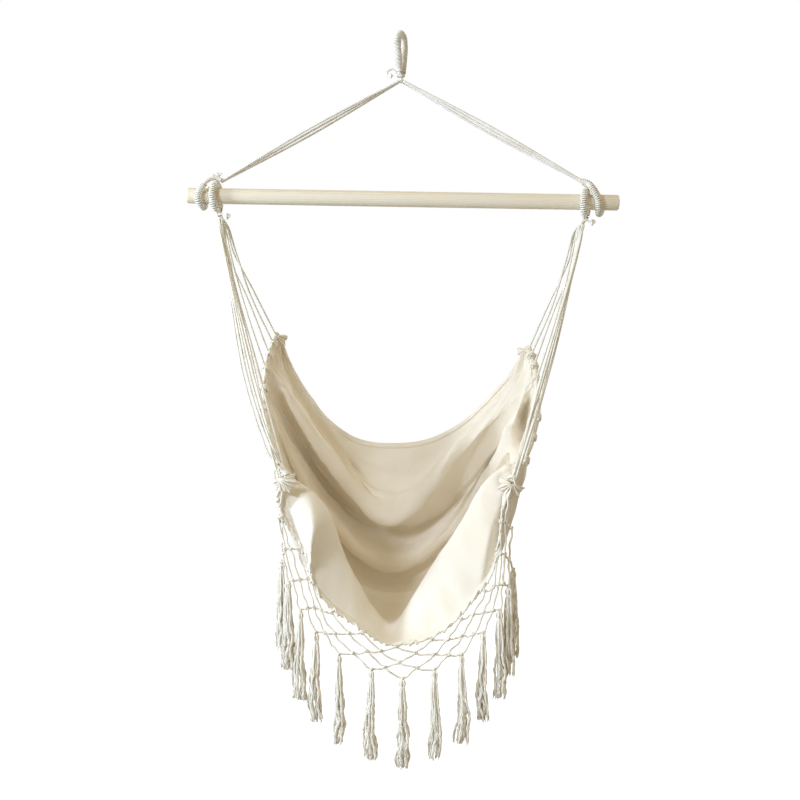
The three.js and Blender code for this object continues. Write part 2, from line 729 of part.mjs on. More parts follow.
// The net as one solid: each knot is a small block, and a four-sided cord joins facing sides
function netSolid() {
  const knots = new Map();
  for (let row = 0; row <= netRows; row++) {
    const shift = (netRows - row) % 2 ? 0.5 : 0;
    for (let column = shift; column <= tasselCount - 1; column++) {
      knots.set(`${row}:${column}`, { row, column, place: knotPlace(row, column) });
    }
  }
  const at = (row, column) => knots.get(`${row}:${column}`);
  const halfCord = netCordDiameter / 2;
  const vertices = [];
  const faces = [];
  const quad = (a, b, c, d) => faces.push([a, b, c], [a, c, d]);
  for (const knot of knots.values()) {
    const { row, column, place: centre } = knot;
    const left = knotPlace(row, Math.max(column - 0.5, 0));
    const right = knotPlace(row, Math.min(column + 0.5, tasselCount - 1));
    const above = knotPlace(row - 0.5, column);
    const below = knotPlace(row + 0.5, column);
    const across = right.sub(left).normalize();
    const down = below.sub(above).normalize();
    const normal = across.clone().cross(down).normalize();
    const reach = halfCord * Math.SQRT2;
    knot.base = vertices.length;
    for (const [a, d] of [[0, -1], [1, 0], [0, 1], [-1, 0]]) {
      for (const n of [1, -1]) {
        vertices.push(
          centre
            .clone()
            .addScaledVector(across, a * reach)
            .addScaledVector(down, d * reach)
            .addScaledVector(normal, n * halfCord),
        );
      }
    }
  }
  // Corner k of a knot is up, right, down or left, on the far side (0) or the near side (1)
  const corner = (knot, k, n) => knot.base + 2 * k + n;
  for (const knot of knots.values()) {
    const { row, column } = knot;
    quad(...[0, 1, 2, 3].map((k) => corner(knot, k, 0)));
    quad(...[3, 2, 1, 0].map((k) => corner(knot, k, 1)));
    const facing = [
      at(row - 1, column + 0.5),
      at(row + 1, column + 0.5),
      at(row + 1, column - 0.5),
      at(row - 1, column - 0.5),
    ];
    facing.forEach((other, k) => {
      const [a, b] = [(n) => corner(knot, k, n), (n) => corner(knot, (k + 1) % 4, n)];
      if (!other) {
        quad(a(0), a(1), b(1), b(0));
        return;
      }
      if (k === 0 || k === 3) return;
      const [c, d] = [(n) => corner(other, (k + 3) % 4, n), (n) => corner(other, (k + 2) % 4, n)];
      quad(a(0), a(1), c(1), c(0));
      quad(b(1), b(0), d(0), d(1));
      quad(b(0), a(0), c(0), d(0));
      quad(a(1), b(1), d(1), c(1));
    });
  }
  return shell(vertices, faces);
}
place("fringe_net", netSolid(), cottonTwine);

// Clew cords and the cords that hold up the net's corners
for (const [sideName, end] of Object.entries(ends)) {
  const rope = edgeRopes[sideName];
  const count = cordShares.length + 1;
  cordShares.forEach((share, i) => {
    const start = cordStart(end, i, count);
    const target = rope.getPointAt(share);
    const tangent = rope.getTangentAt(share);
    const direction = target.clone().sub(start).normalize();
    const along = Math.abs(direction.dot(tangent));
    const square = Math.sqrt(1 - along * along);
    const ropeReach = edgeRopeRadius / Math.cos(Math.PI / ropeSides);
    const short = (ropeReach + seatGap + (cordDiameter / 2) * along) / square;
    const stop = target.clone().addScaledVector(direction, -short);
    const bowed = start.clone().lerp(stop, 0.5);
    bowed.x += end.side * cordBow;
    const curve = new THREE.CatmullRomCurve3([start, bowed, stop]);
    const cord = tube(curve, cordDiameter / 2, ropeSides, shortCordSteps);
    place(`${sideName}_clew_cord_${i + 1}`, cord, cottonRope);
  });
  const start = cordStart(end, count - 1, count);
  const knot = knotPlace(netRows % 2 ? 1 : 0, end.side < 0 ? 0 : tasselCount - 1);
  const direction = knot.clone().sub(start).normalize();
  const stop = knot.clone().addScaledVector(direction, -(netCordDiameter * 1.5 + cordDiameter));
  stop.x += end.side * (netCordDiameter + cordDiameter);
  const bowed = start.clone().lerp(stop, 0.5);
  bowed.x += end.side * netCordBow;
  const curve = new THREE.CatmullRomCurve3([start, bowed, stop]);
  place(`${sideName}_net_cord`, tube(curve, cordDiameter / 2, ropeSides, cordSteps), cottonRope);
}

// Tassels: a bound head and a skirt of yarn, hung just under the net's lowest knots
function tassel() {
  const top = (netCordDiameter / 2) * Math.SQRT2 + 2 * seatGap;
  const rows = [
    [0, netCordDiameter * 0.4],
    [tasselHeadHeight * 0.35, tasselHeadDiameter * 0.5],
    [tasselHeadHeight * 0.8, tasselHeadDiameter * 0.48],
    [tasselHeadHeight, tasselNeckDiameter * 0.55],
    [tasselHeadHeight * 1.5, tasselDiameter * 0.34],
    [tasselLength * 0.45, tasselDiameter * 0.45],
    [tasselLength * 0.82, tasselDiameter * 0.5],
    [tasselLength, tasselDiameter * 0.36],
  ];
  const points = rows.map(([down]) => new THREE.Vector3(0, 0, -top - down));
  return tubeThrough(points, rows.map(([, radius]) => radius), tasselSides);
}
for (let i = 0; i < tasselCount; i++) {
  const knot = knotPlace(netRows, i);
  const hung = place(`tassel_${String(i + 1).padStart(2, "0")}`, tassel(), cottonRope);
  hung.position.copy(knot);
}

export default chair;
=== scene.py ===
"""Looks of the hammock chair: bridle and clews of cord, wound loops, a canvas sling, a knotted fringe and
yarn tassels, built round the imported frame. Working sizes are in millimetres, +Z is up, the sitter faces
-Y and the hook bears at the origin; meshes are turned to metres as they are made."""

import math

import bpy
import numpy as np
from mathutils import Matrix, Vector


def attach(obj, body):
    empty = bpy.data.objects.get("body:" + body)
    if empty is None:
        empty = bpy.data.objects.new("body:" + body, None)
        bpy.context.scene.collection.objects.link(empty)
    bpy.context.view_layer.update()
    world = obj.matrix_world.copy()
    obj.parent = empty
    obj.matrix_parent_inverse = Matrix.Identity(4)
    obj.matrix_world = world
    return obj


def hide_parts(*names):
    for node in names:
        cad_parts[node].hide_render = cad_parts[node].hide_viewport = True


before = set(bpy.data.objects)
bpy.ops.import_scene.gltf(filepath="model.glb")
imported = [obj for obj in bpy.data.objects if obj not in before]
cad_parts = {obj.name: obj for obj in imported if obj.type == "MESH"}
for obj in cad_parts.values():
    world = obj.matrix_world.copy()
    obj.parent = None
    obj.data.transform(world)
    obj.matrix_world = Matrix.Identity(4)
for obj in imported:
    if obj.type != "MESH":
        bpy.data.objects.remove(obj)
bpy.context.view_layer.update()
mm = 0.001
tau = 2 * math.pi

# Sizes repeated from the solids
bar_length = 1000
bar_radius = 18
bar_drop = 374
bar_tilt = math.radians(0.95)
bar_slip = 4.4
loop_inset = 72
seat_gap = 0.35
twine = 2.6
winding_steps = 8
eye_core, bridle_core, clew_core = 9, 8.6, 9.4
eye_half_width, eye_throat_drop = 20, 86
eye_turn = math.radians(67)
seizing_radius, collar_height = 6.5, 6
loop_twists = {"left": 5, "right": 8}
bridle_cord = 6
bridle_cord_gap, bridle_spread = 0.5, 5
bridle_beside, bridle_out, bridle_entry = 4, 33, 14
bridle_rises = {"left": -0.3, "right": 0.5}
bridle_wound = {"left": (0.2, 0.8), "right": (0.03, 0.97)}
neck_top, neck_bottom, neck_lean = 38, 56, 12
neck_half_depth, neck_half_width = 10.5, 7.2
tail_cord, tail_knot, tail_reach = 4.2, 8.5, 24
clew_cord_bow, net_cord_bow = 5, 13
clew_cord_shares = [0.012, 0.075, 0.16, 0.27, 0.4, 0.535, 0.68, 0.84, 0.985]
half_sling, sling_depth, sling_set_back = 320, 325, 40.4
back_corner_drop, side_drop, back_sag, belly_drop = 700, 322, 246, 424
cloth_thickness = 2
edge_rope_radius = 4
net_cord, net_rows, net_drop, net_hem_gap = 3, 4, 77, 0.6
tassel_length, tassel_rise, middle_off_centre = 195, 425, -22

# Sizes that only the looks have. The clew cords and the net are drawn a little thicker than their solids
rope_proud = 0.3  # how far a rope stands out over its solid core
eye_wrap_width, eye_wrap_thick, eye_wound = 3, twine + 1.8, (0.02, 0.98)
loop_wrap_width, clew_wound = 4.4, (0.14, 0.86)
loop_wrap_thick = {"left": twine + 1.4, "right": twine + 0.9}
clew_cord, clew_cord_gap = 5, 0.1
net_strand, net_knot_cord = 4.8, 4.2
canvas_thick, hem_thick, gathers_thick = 1.4, 0.9, 1.2
back_hem_width, front_hem_width = 13, 15
bridle_cord_lay, clew_cord_lay, net_lay, short_cord_lay = 16, 13, 11, 8  # one turn of the strands

# Shares repeated from the solids: side edges, the sling's middle, how each line across it hangs, and
# where the tassels hang
edge_shares = {
    -1: [(0.95, 0.5, -0.05), (1, 0.27, 0.165), (1, 0.02, 0.46), (0.925, -0.26, 0.745), (0.79, -0.5, 0.985)],
    1: [(0.97, 0.5, 0.05), (1, 0.27, 0.24), (0.995, 0.02, 0.51), (0.91, -0.26, 0.78), (0.76, -0.5, 1.015)],
}
middle_shares = [
    (0.55, 0), (0.51, 0.132), (0.425, 0.274), (0.345, 0.387), (0.345, 0.443), (0.46, 0.476),
    (0.54, 0.51), (0.46, 0.585), (0.32, 0.646), (0.308, 0.698), (0.43, 0.741), (0.418, 0.797),
    (0.283, 0.863), (0.123, 0.915), (-0.06, 0.943), (-0.245, 0.945), (-0.43, 0.955), (-0.605, 1),
]
hang_shares = {  # on either side: along, power, steep, peak, power of the depth
    -1: np.array([
        (0, 2.2, 0, 0, 2.4), (0.25, 1.2, 0, 0, 4), (0.315, 1.75, 0, 0, 4), (0.5, 1.5, 0.05, 0, 4),
        (0.63, 1.6, 0.4, 0, 3), (0.77, 1.6, 0.55, 0, 2), (0.885, 0.95, 0, 0.5, 1.5), (1, 1.2, 0.58, 0, 1.7),
    ]),
    1: np.array([
        (0, 2, 0, 0, 2.4), (0.25, 0.95, 0, 0, 4), (0.315, 1.75, 0, 0, 4), (0.5, 1.6, 0.05, 0, 4),
        (0.63, 1.6, 0.4, 0, 3), (0.77, 1.5, 0.55, 0, 2), (0.885, 0.75, 0, 1.6, 1.5), (1, 1.4, 0.58, 0, 1.7),
    ]),
}
steep_power, peak_power, middle_rounding = 8, 4, 0.09
tassel_shares = [
    (-0.835, -0.44, 0.575), (-0.78, -0.535, 0.49), (-0.695, -0.57, 0.34), (-0.585, -0.6, 0.23),
    (-0.427, -0.625, 0.12), (-0.203, -0.64, 0.045), (0.008, -0.645, 0), (0.23, -0.64, 0.045),
    (0.415, -0.625, 0.12), (0.565, -0.6, 0.228), (0.68, -0.57, 0.34), (0.745, -0.535, 0.46),
    (0.785, -0.435, 0.54),
]
tassel_count = len(tassel_shares)


# Lines and rings
def unit(v):
    """Vectors of length 1."""
    return v / np.maximum(np.linalg.norm(v, axis=-1, keepdims=True), 1e-9)


def lengths(line):
    """How far along the line each point is."""
    return np.concatenate([[0], np.cumsum(np.linalg.norm(np.diff(line, axis=0), axis=1))])


def at(line, shares):
    """The points at those shares of a line's length."""
    along = lengths(line)
    wanted = np.asarray(shares, float) * along[-1]
    return np.stack([np.interp(wanted, along, line[:, k]) for k in range(3)], -1)


def with_ends(points):
    """The points and one more beyond each end."""
    p = np.array(points, float)
    return np.vstack([2 * p[0] - p[1], p, 2 * p[-1] - p[-2]])


def curve(a, b, c, d, t):
    """The smooth curve from b to c, at t from 0 to 1, as the solids' curves run."""
    ab, bc, cd = (math.sqrt(max(np.linalg.norm(y - x), 1e-4)) for x, y in ((a, b), (b, c), (c, d)))
    out = ((b - a) / ab - (c - a) / (ab + bc) + (c - b) / bc) * bc
    into = ((c - b) / bc - (d - b) / (bc + cd) + (d - c) / cd) * bc
    return b + out * t + (3 * (c - b) - 2 * out - into) * t**2 + (2 * (b - c) + out + into) * t**3


def spline(points, count=200):
    """A smooth line through points, as count points an equal way apart."""
    p = with_ends(points)
    t = np.linspace(0, 1, 40, endpoint=False)[:, None]
    dense = [curve(*span, t) for span in zip(p, p[1:], p[2:], p[3:])]
    return at(np.vstack([*dense, p[-2:-1]]), np.linspace(0, 1, count))


def frames_along(line):
    """Tangent, normal and side at each point of a line, without twist."""
    tangent = unit(np.gradient(line, axis=0))
    normal = np.zeros_like(line)
    last = np.eye(3)[np.argmin(np.abs(tangent[0]))]
    for i, t in enumerate(tangent):
        last = unit(last - t * (last @ t))
        normal[i] = last
    return tangent, normal, np.cross(tangent, normal)


def turn_of(sides):
    """The angles of a whole turn in equal steps."""
    return np.arange(sides) / sides * tau


def rings_of(line, across, up, first, second):
    """Rings round a line: across and up are each ring point's reach along the first and second axis."""
    return line[:, None] + across[..., None] * first[:, None] + up[..., None] * second[:, None]


def round_rings(line, radius, sides, lobes=0, depth=0.0, pitch=None):
    """Rings of a cord. With lobes it is a laid rope, whose strands turn once in each pitch."""
    _, normal, side = frames_along(line)
    around = turn_of(sides)
    turn = lengths(line) / pitch * tau if pitch else np.zeros(len(line))
    angle = turn[:, None] + around
    reach = np.reshape(radius, (-1, 1)) * (1 - depth * (1 - np.abs(np.cos(around * lobes / 2))))
    return rings_of(line, reach * np.cos(angle), reach * np.sin(angle), normal, side)


def laid_rope(points, diameter, pitch, depth=0.07):
    """A three-strand rope through points, with its lay in the mesh."""
    line = spline(points)
    steps = max(int(lengths(line)[-1] / pitch * 6), 8)
    line = at(line, np.linspace(0, 1, steps))
    return line, round_rings(line, diameter / 2, 9, 3, depth, pitch)


def wound(line, core, width, thick, share):
    """Rings of one twine wound close round that share of a rope, as a helix with a flattened section."""
    steps = 12
    length = lengths(line)[-1] * (share[1] - share[0])
    turns = max(int(length / width), 2)
    centres = at(line, np.linspace(*share, turns * steps + 1))
    tangent, normal, side = frames_along(centres)
    angle = np.arange(len(centres))[:, None] / steps * tau
    out = np.cos(angle) * normal + np.sin(angle) * side
    path = centres + out * (core / 2 + thick / 2)
    around = turn_of(8)
    across = np.cos(around) * np.full((len(path), 1), thick / 2)
    along = -np.sin(around) * np.full((len(path), 1), width / 2)
    return rings_of(path, across, along, unit(out), tangent)


def knot_rings(centre, size, cord, turn):
    """Rings of a small overhand knot, drawn tight and turned about the vertical."""
    t = np.linspace(0, 1, 40) * tau
    reach = size / 2 - cord / 2
    x = (np.sin(t) + 2 * np.sin(2 * t)) / 3 * reach
    y = (np.cos(t) - 2 * np.cos(2 * t)) / 3 * reach
    z = -np.sin(3 * t) * reach * 0.55
    cos, sin = math.cos(turn), math.sin(turn)
    line = np.stack([x * cos - z * sin, x * sin + z * cos, y], 1)
    return round_rings(np.asarray(centre) + line, cord / 2, 7)


# Pieces
def skin(name, bundles, material, body, replaces):
    """One piece of closed tubes, each given as its rings of points, in millimetres."""
    points, faces, uvs, base = [], [], [], 0
    for rings in bundles:
        steps, sides, _ = rings.shape
        i, j = (a.ravel() for a in np.meshgrid(np.arange(steps - 1), np.arange(sides), indexing="ij"))
        k = (j + 1) % sides
        quads = np.stack([i * sides + j, i * sides + k, (i + 1) * sides + k, (i + 1) * sides + j], 1)
        last = base + (steps - 1) * sides
        faces += (quads + base).tolist()
        faces += [list(range(base + sides - 1, base - 1, -1)), list(range(last, last + sides))]
        along = lengths(rings.mean(1)) * mm
        corners = [(j, i), (j + 1, i), (j + 1, i + 1), (j, i + 1)]
        uvs.append(np.stack([np.stack([a / sides, along[b]], 1) for a, b in corners], 1).reshape(-1, 2))
        uvs.append(np.zeros((2 * sides, 2)))
        points.append(rings.reshape(-1, 3))
        base += steps * sides
    return piece_of(name, np.vstack(points), faces, np.vstack(uvs), material, body, replaces)


def piece_of(name, points, faces, uvs, material, body, replaces):
    """A smooth-shaded piece that rides on a body."""
    mesh = bpy.data.meshes.new(name)
    mesh.from_pydata((points * mm).tolist(), [], faces)
    mesh.uv_layers.new(name="UVMap").data.foreach_set("uv", uvs.ravel())
    mesh.polygons.foreach_set("use_smooth", [True] * len(mesh.polygons))
    mesh.materials.append(material)
    piece = bpy.data.objects.new(name, mesh)
    bpy.context.scene.collection.objects.link(piece)
    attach(piece, body)
    if replaces:
        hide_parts(*replaces)
    return piece


# Finishes
def srgb(text):
    """The linear colour of an sRGB hex value."""
    shares = [c / 255 for c in bytes.fromhex(text)]
    return [*(((s + 0.055) / 1.055) ** 2.4 if s > 0.04045 else s / 12.92 for s in shares), 1]


def add(tree, kind, inputs=(), **settings):
    """Adds a node. Each input is a value, or the socket that it comes from."""
    node = tree.nodes.new("ShaderNode" + kind)
    for key, value in settings.items():
        setattr(node, key, value)
    for key, value in dict(inputs).items():
        if isinstance(value, bpy.types.NodeSocket):
            tree.links.new(value, node.inputs[key])
        else:
            node.inputs[key].default_value = value
    return node


def finish(name, roughness, sheen=0.0, ior=1.5):
    """A new material, its node tree, its shader and its object coordinates."""
    material = bpy.data.materials.new(name)
    material.use_nodes = True
    tree = material.node_tree
    shader = tree.nodes["Principled BSDF"]
    shader.inputs["Roughness"].default_value = roughness
    shader.inputs["IOR"].default_value = ior
    shader.inputs["Sheen Weight"].default_value = sheen
    shader.inputs["Sheen Roughness"].default_value = 0.5
    return material, tree, shader, add(tree, "TexCoord")


def between(tree, factor, low, high):
    """A colour between two, each an sRGB hex value, a linear colour or a socket."""
    low, high = (srgb(end) if isinstance(end, str) else end for end in (low, high))
    return add(tree, "Mix", {"Factor": factor, "A": low, "B": high}, data_type="RGBA").outputs["Result"]


def spun_cotton(name, dark, light, pitch, relief, painted_turn_in_shade=None):
    """Soft spun cotton cord: matt and slightly hairy, its plies slanting round it and a little soiled in
    places. The UV's V runs along the cord in metres, and the plies lie 0.63 of the pitch apart there. On
    a winding, a darker colour is painted shade: it darkens the sides of each turn of twine, where it
    turns in to its rope."""
    fibre_scale, soiling_scale = 900, 35  # fibres 1.1 mm apart and stains 29 mm across
    material, tree, shader, place = finish(name, 0.9, sheen=0.2)
    along = add(tree, "Mapping", {"Vector": place.outputs["UV"], "Scale": (1, 1 / pitch, 1)})
    plies = add(tree, "TexWave", {"Vector": along.outputs[0], "Scale": 1, "Distortion": 0.6, "Detail": 1},
                bands_direction="DIAGONAL")
    fibres = add(tree, "TexNoise", {"Vector": place.outputs["Object"], "Scale": fibre_scale, "Detail": 2})
    patches = add(tree, "TexNoise", {"Vector": place.outputs["Object"], "Scale": soiling_scale, "Detail": 3})
    tone = add(tree, "MapRange", {"Value": patches.outputs["Fac"], "From Min": 0.35, "From Max": 0.65})
    colour = between(tree, tone.outputs[0], dark, light)
    # Painted shade: the twine's colour goes dark on the sides of each turn, where it dips in to the rope
    if painted_turn_in_shade:
        around = add(tree, "SeparateXYZ", {0: place.outputs["UV"]})
        turn = add(tree, "Math", {0: around.outputs["X"], 1: tau}, operation="MULTIPLY")
        outer = add(tree, "Math", {0: turn.outputs[0]}, operation="COSINE")
        shown = add(tree, "MapRange", {"Value": outer.outputs[0], "From Min": 0.0, "From Max": 0.75})
        colour = between(tree, shown.outputs[0], painted_turn_in_shade, colour)
    tree.links.new(colour, shader.inputs["Base Color"])
    height = add(tree, "Math", {0: plies.outputs["Fac"], 1: fibres.outputs["Fac"]}, operation="ADD")
    bump = add(tree, "Bump", {"Height": height.outputs[0], "Strength": 0.6, "Distance": relief * mm})
    tree.links.new(bump.outputs[0], shader.inputs["Normal"])
    return material


def cotton_canvas():
    """Unbleached plain-weave cotton canvas, washed soft: matt, with a faint slub in the threads. Real
    threads are 0.5 mm apart, and they are drawn 1.6 mm apart so that the weave shows at all."""
    material, tree, shader, place = finish("cotton canvas, plain weave, unbleached", 0.92, sheen=0.15)
    spacing = 1.6 * mm
    once_a_unit = 0.314  # the scale at which a wave texture repeats once in each unit
    slub_scale, crumple_scale, cloud_scale = 60, 26, 7  # 17 mm, 38 mm and 140 mm across
    scaled = add(tree, "Mapping", {"Vector": place.outputs["UV"], "Scale": (1 / spacing,) * 3})
    slub = add(tree, "TexNoise", {"Vector": place.outputs["UV"], "Scale": slub_scale, "Detail": 4})
    threads = []
    for direction in ("X", "Y"):
        waves = add(tree, "TexWave", {"Vector": scaled.outputs[0], "Scale": once_a_unit, "Distortion": 0.5},
                    bands_direction=direction)
        threads.append(waves.outputs["Fac"])
    weave = add(tree, "Math", {0: threads[0], 1: threads[1]}, operation="MULTIPLY")
    cloud = add(tree, "TexNoise", {"Vector": place.outputs["UV"], "Scale": cloud_scale, "Detail": 3})
    tone = add(tree, "MapRange", {"Value": cloud.outputs["Fac"], "From Min": 0.35, "From Max": 0.65})
    tree.links.new(between(tree, tone.outputs[0], "f2e8d6", "f8f1e4"), shader.inputs["Base Color"])
    crumple = add(tree, "TexNoise", {"Vector": place.outputs["UV"], "Scale": crumple_scale, "Detail": 4,
                                     "Roughness": 0.55, "Distortion": 0.6})
    soft = add(tree, "Bump", {"Height": crumple.outputs["Fac"], "Strength": 0.5, "Distance": 4 * mm})
    uneven = add(tree, "Bump", {"Height": slub.outputs["Fac"], "Strength": 0.3, "Distance": 0.5 * mm,
                                "Normal": soft.outputs[0]})
    woven = add(tree, "Bump", {"Height": weave.outputs[0], "Strength": 0.4, "Distance": 0.4 * mm,
                               "Normal": uneven.outputs[0]})
    tree.links.new(woven.outputs[0], shader.inputs["Normal"])
    return material


def turned_pine():
    """Planed pine dowel, sanded and left raw: straight pale grain along the bar, faint darker streaks of
    late wood and a satin face."""
    material, tree, shader, place = finish("pine, turned and sanded", 0.55, ior=1.45)
    heart = (0, 4 * mm, (bar_drop + 3) * mm)
    along_grain, across_grain, ring_scale = 0.6, 9, 9  # growth rings 3.9 mm apart
    fibres_along, fibres_across = 12, 900  # fibres 80 mm long and 1.1 mm apart
    lying = add(tree, "Mapping", {"Vector": place.outputs["Object"], "Rotation": (0, bar_tilt, 0),
                                  "Location": heart, "Scale": (along_grain, across_grain, across_grain)})
    rings = add(tree, "TexWave", {"Vector": lying.outputs[0], "Scale": ring_scale, "Distortion": 5,
                                  "Detail": 3, "Detail Scale": 1.2}, bands_direction="Z")
    fine = add(tree, "Mapping", {"Vector": place.outputs["Object"],
                                 "Scale": (fibres_along, fibres_across, fibres_across)})
    fibres = add(tree, "TexNoise", {"Vector": fine.outputs[0], "Scale": 1, "Detail": 3})
    grain = add(tree, "Math", {0: rings.outputs["Fac"], 1: 0.7, 2: 0.15}, operation="MULTIPLY_ADD")
    both = add(tree, "Math", {0: fibres.outputs["Fac"], 1: 0.35, 2: grain.outputs[0]},
               operation="MULTIPLY_ADD")
    tree.links.new(between(tree, both.outputs[0], "faf5e8", "e9dcc0"), shader.inputs["Base Color"])
    bump = add(tree, "Bump", {"Height": fibres.outputs["Fac"], "Strength": 0.3, "Distance": 0.2 * mm})
    tree.links.new(bump.outputs[0], shader.inputs["Normal"])
    return material


rope_cotton = spun_cotton("cotton rope, laid", "efeadf", "fbf8f2", 0.006, 0.25)
cord_cotton = spun_cotton("cotton cord, laid", "e8e2d2", "f7f3e9", 0.004, 0.2)
twine_cotton = spun_cotton("cotton twine, waxed", "efeade", "fbf8f1", 0.003, 0.2)
# The wound twine carries painted shade, colour a1926b, on the sides of its turns
wound_cotton = spun_cotton("cotton twine, wound close", "efeade", "fbf8f1", 0.003, 0.2, "a1926b")
yarn_cotton = spun_cotton("cotton yarn, loosely spun", "f0e9da", "fcf8ef", 0.004, 0.3)
canvas = cotton_canvas()

# Camera and stage, in metres, with the photograph's view of the chair
camera_data = bpy.data.cameras.new("camera")
camera_data.sensor_width = 36
camera_data.lens = 58.3
camera = bpy.data.objects.new("camera", camera_data)
camera.location = (-0.0023, -3.0, -0.839)
camera.rotation_euler = (math.pi / 2, 0, 0)
bpy.context.scene.collection.objects.link(camera)
bpy.context.scene.camera = camera
bpy.context.scene.view_settings.view_transform = "Standard"


def seen_directly(tree):
    """1 on what the camera sees, also in a mirror or through glass, and 0 on what only lights."""
    path = add(tree, "LightPath")
    plain = add(tree, "Math", {0: path.outputs["Is Camera Ray"], 1: path.outputs["Is Glossy Ray"]},
                operation="MAXIMUM")
    return add(tree, "Math", {0: plain.outputs[0], 1: path.outputs["Is Transmission Ray"]},
               operation="MAXIMUM").outputs[0]


def stage_white():
    """A pale floor that stays white to the camera but keeps the chair's shadow."""
    material, tree, shader, _ = finish("pale studio floor", 0.9)
    shader.inputs["Base Color"].default_value = srgb("8f8d88")
    shader.inputs["Emission Color"].default_value = (1, 1, 1, 1)
    lift = add(tree, "Math", {0: seen_directly(tree), 1: 0.95}, operation="MULTIPLY")
    tree.links.new(lift.outputs[0], shader.inputs["Emission Strength"])
    return material


floor_drop = 1.95
bpy.ops.mesh.primitive_plane_add(size=30, location=(0, 0, -floor_drop))
floor = bpy.context.object
floor.name = "floor"
floor.data.materials.append(stage_white())

world = bpy.data.worlds.new("studio")
bpy.context.scene.world = world
world.use_nodes = True
sky = world.node_tree
sky.nodes.clear()
course = add(sky, "SeparateXYZ", {0: add(sky, "TexCoord").outputs["Generated"]})
height = add(sky, "MapRange", {"Value": course.outputs["Z"], "From Min": -0.3, "From Max": 0.6})
dome = between(sky, height.outputs[0], (0.28, 0.2, 0.09, 1), (1.05, 0.89, 0.58, 1))
fill = add(sky, "Background", {"Color": dome, "Strength": 0.5})
bright = add(sky, "Background", {"Color": (1, 1, 1, 1), "Strength": 1})
either = add(sky, "MixShader", {0: seen_directly(sky), 1: fill.outputs[0], 2: bright.outputs[0]})
add(sky, "OutputWorld", {"Surface": either.outputs[0]})


def soft_box(name, place, size, watts, colour):
    """A square area lamp aimed at the middle of the chair."""
    target = Vector((0, 0, -0.9))
    data = bpy.data.lights.new(name, "AREA")
    data.size = size
    data.energy = watts
    data.color = colour
    lamp = bpy.data.objects.new(name, data)
    lamp.location = place
    lamp.rotation_euler = (target - Vector(place)).to_track_quat("-Z", "Y").to_euler()
    bpy.context.scene.collection.objects.link(lamp)


soft_box("key lamp", (-3.45, -1.1, -0.35), 0.7, 108, (0.72, 0.85, 1))
soft_box("front fill", (-1.97, -2.52, 0.26), 0.6, 56, (0.72, 0.83, 1))
soft_box("right fill", (2.2, -2.6, -0.7), 1.2, 11, (1, 0.96, 0.86))
soft_box("back fill", (2.2, 2.8, -0.1), 2.0, 58, (0.95, 0.97, 1))

# Spreader bar: the solid's own shape, in pine
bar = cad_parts["spreader_bar"]
bar.data.materials.clear()
bar.data.materials.append(turned_pine())
bar.data.polygons.foreach_set("use_smooth", [True] * len(bar.data.polygons))

# Routes of the ropes
def bar_axis_at(x):
    """The bar's axis, which slopes down to the right."""
    return np.array([x, 0, -bar_drop - (x - bar_slip) * math.tan(bar_tilt)])


def wound_radius(core):
    """The outer radius of a rope with its twine, as the solids have it."""
    return (core / 2 + seat_gap + twine / 2) / math.cos(math.pi / winding_steps) + twine / 2


eye_rope, bridle_rope, clew_rope = (wound_radius(core) for core in (eye_core, bridle_core, clew_core))


class BarEnd:
    """One end of the bar: at() gives a point from how far it is outward, back and up from the axis."""

    def __init__(self, side):
        self.side = side
        self.name = "left" if side < 0 else "right"
        self.station = bar_axis_at(side * (bar_length / 2 - loop_inset))
        self.out = np.array([side * math.cos(bar_tilt), 0, -side * math.sin(bar_tilt)])
        self.twist = side * loop_twists[self.name] / (bar_radius + clew_rope)
        self.up = np.array([math.sin(bar_tilt), 0, math.cos(bar_tilt)])

    def at(self, outward, y, height):
        point = self.station + self.out * (outward + y * self.twist) + self.up * height
        point[1] = y
        return point

    def loop(self, half, top):
        """A loop over the bar, from its front half and its middle point."""
        front = [self.at(o, y, z) for o, y, z in half]
        back = [self.at(o, -y, z) for o, y, z in half]
        return spline([*front, self.at(*top), *back[::-1]], 400)


bar_ends = [BarEnd(-1), BarEnd(1)]


def eye_line():
    """The hanging eye: two legs rise from the throat and meet over the hook."""
    out = np.array([math.cos(eye_turn), math.sin(eye_turn), 0])
    leg = eye_rope + seat_gap
    arc = eye_rope - eye_half_width
    half = [
        (leg, -eye_throat_drop),
        (leg, -eye_throat_drop + eye_rope),
        (leg + (eye_half_width - leg) * 0.55, (arc - eye_throat_drop) / 2),
        (eye_half_width, arc),
        (eye_half_width * math.sqrt(0.5), arc + eye_half_width * math.sqrt(0.5)),
    ]
    up = np.array([0, 0, 1])
    left = [-out * w + up * z for w, z in half]
    right = [out * w + up * z for w, z in half]
    return spline([*left, up * eye_rope, *right[::-1]], 400)


# Hanging eye, collar and seizing
eye = eye_line()
skin("hanging_eye_rope", [round_rings(eye, eye_core / 2 + rope_proud, 12)], rope_cotton, "hanging_eye",
     ["hanging_eye_core"])
skin("hanging_eye_winding", [wound(eye, eye_core, eye_wrap_width, eye_wrap_thick, eye_wound)], wound_cotton,
     "hanging_eye", ["hanging_eye_whipping"])
eye_leg = -np.array([math.cos(eye_turn), math.sin(eye_turn), 0]) * (eye_rope + seat_gap)
curl_root = eye_leg[0] - eye_core / 2 - 2.5 * seat_gap
curl_reach, curl_height = 23, 25
curl_shares = [(-0.1, 0.1), (0.14, 0.13), (0.34, 0.4), (0.68, 0.42), (0.96, 0.24), (1, 0), (0.86, -0.2),
               (0.62, -0.25)]
curl = spline([(curl_root - out * curl_reach, eye_leg[1], -eye_throat_drop + up * curl_height)
               for out, up in curl_shares])
curl_knot = (curl_root - 15, eye_leg[1] - 1, -eye_throat_drop - 5)
skin("hanging_eye_knot", [round_rings(curl, 2.6, sides=9, lobes=3, depth=0.2, pitch=9),
                          knot_rings(curl_knot, size=12, cord=5, turn=0.6)],
     twine_cotton, "hanging_eye", ["hanging_eye_tail"])


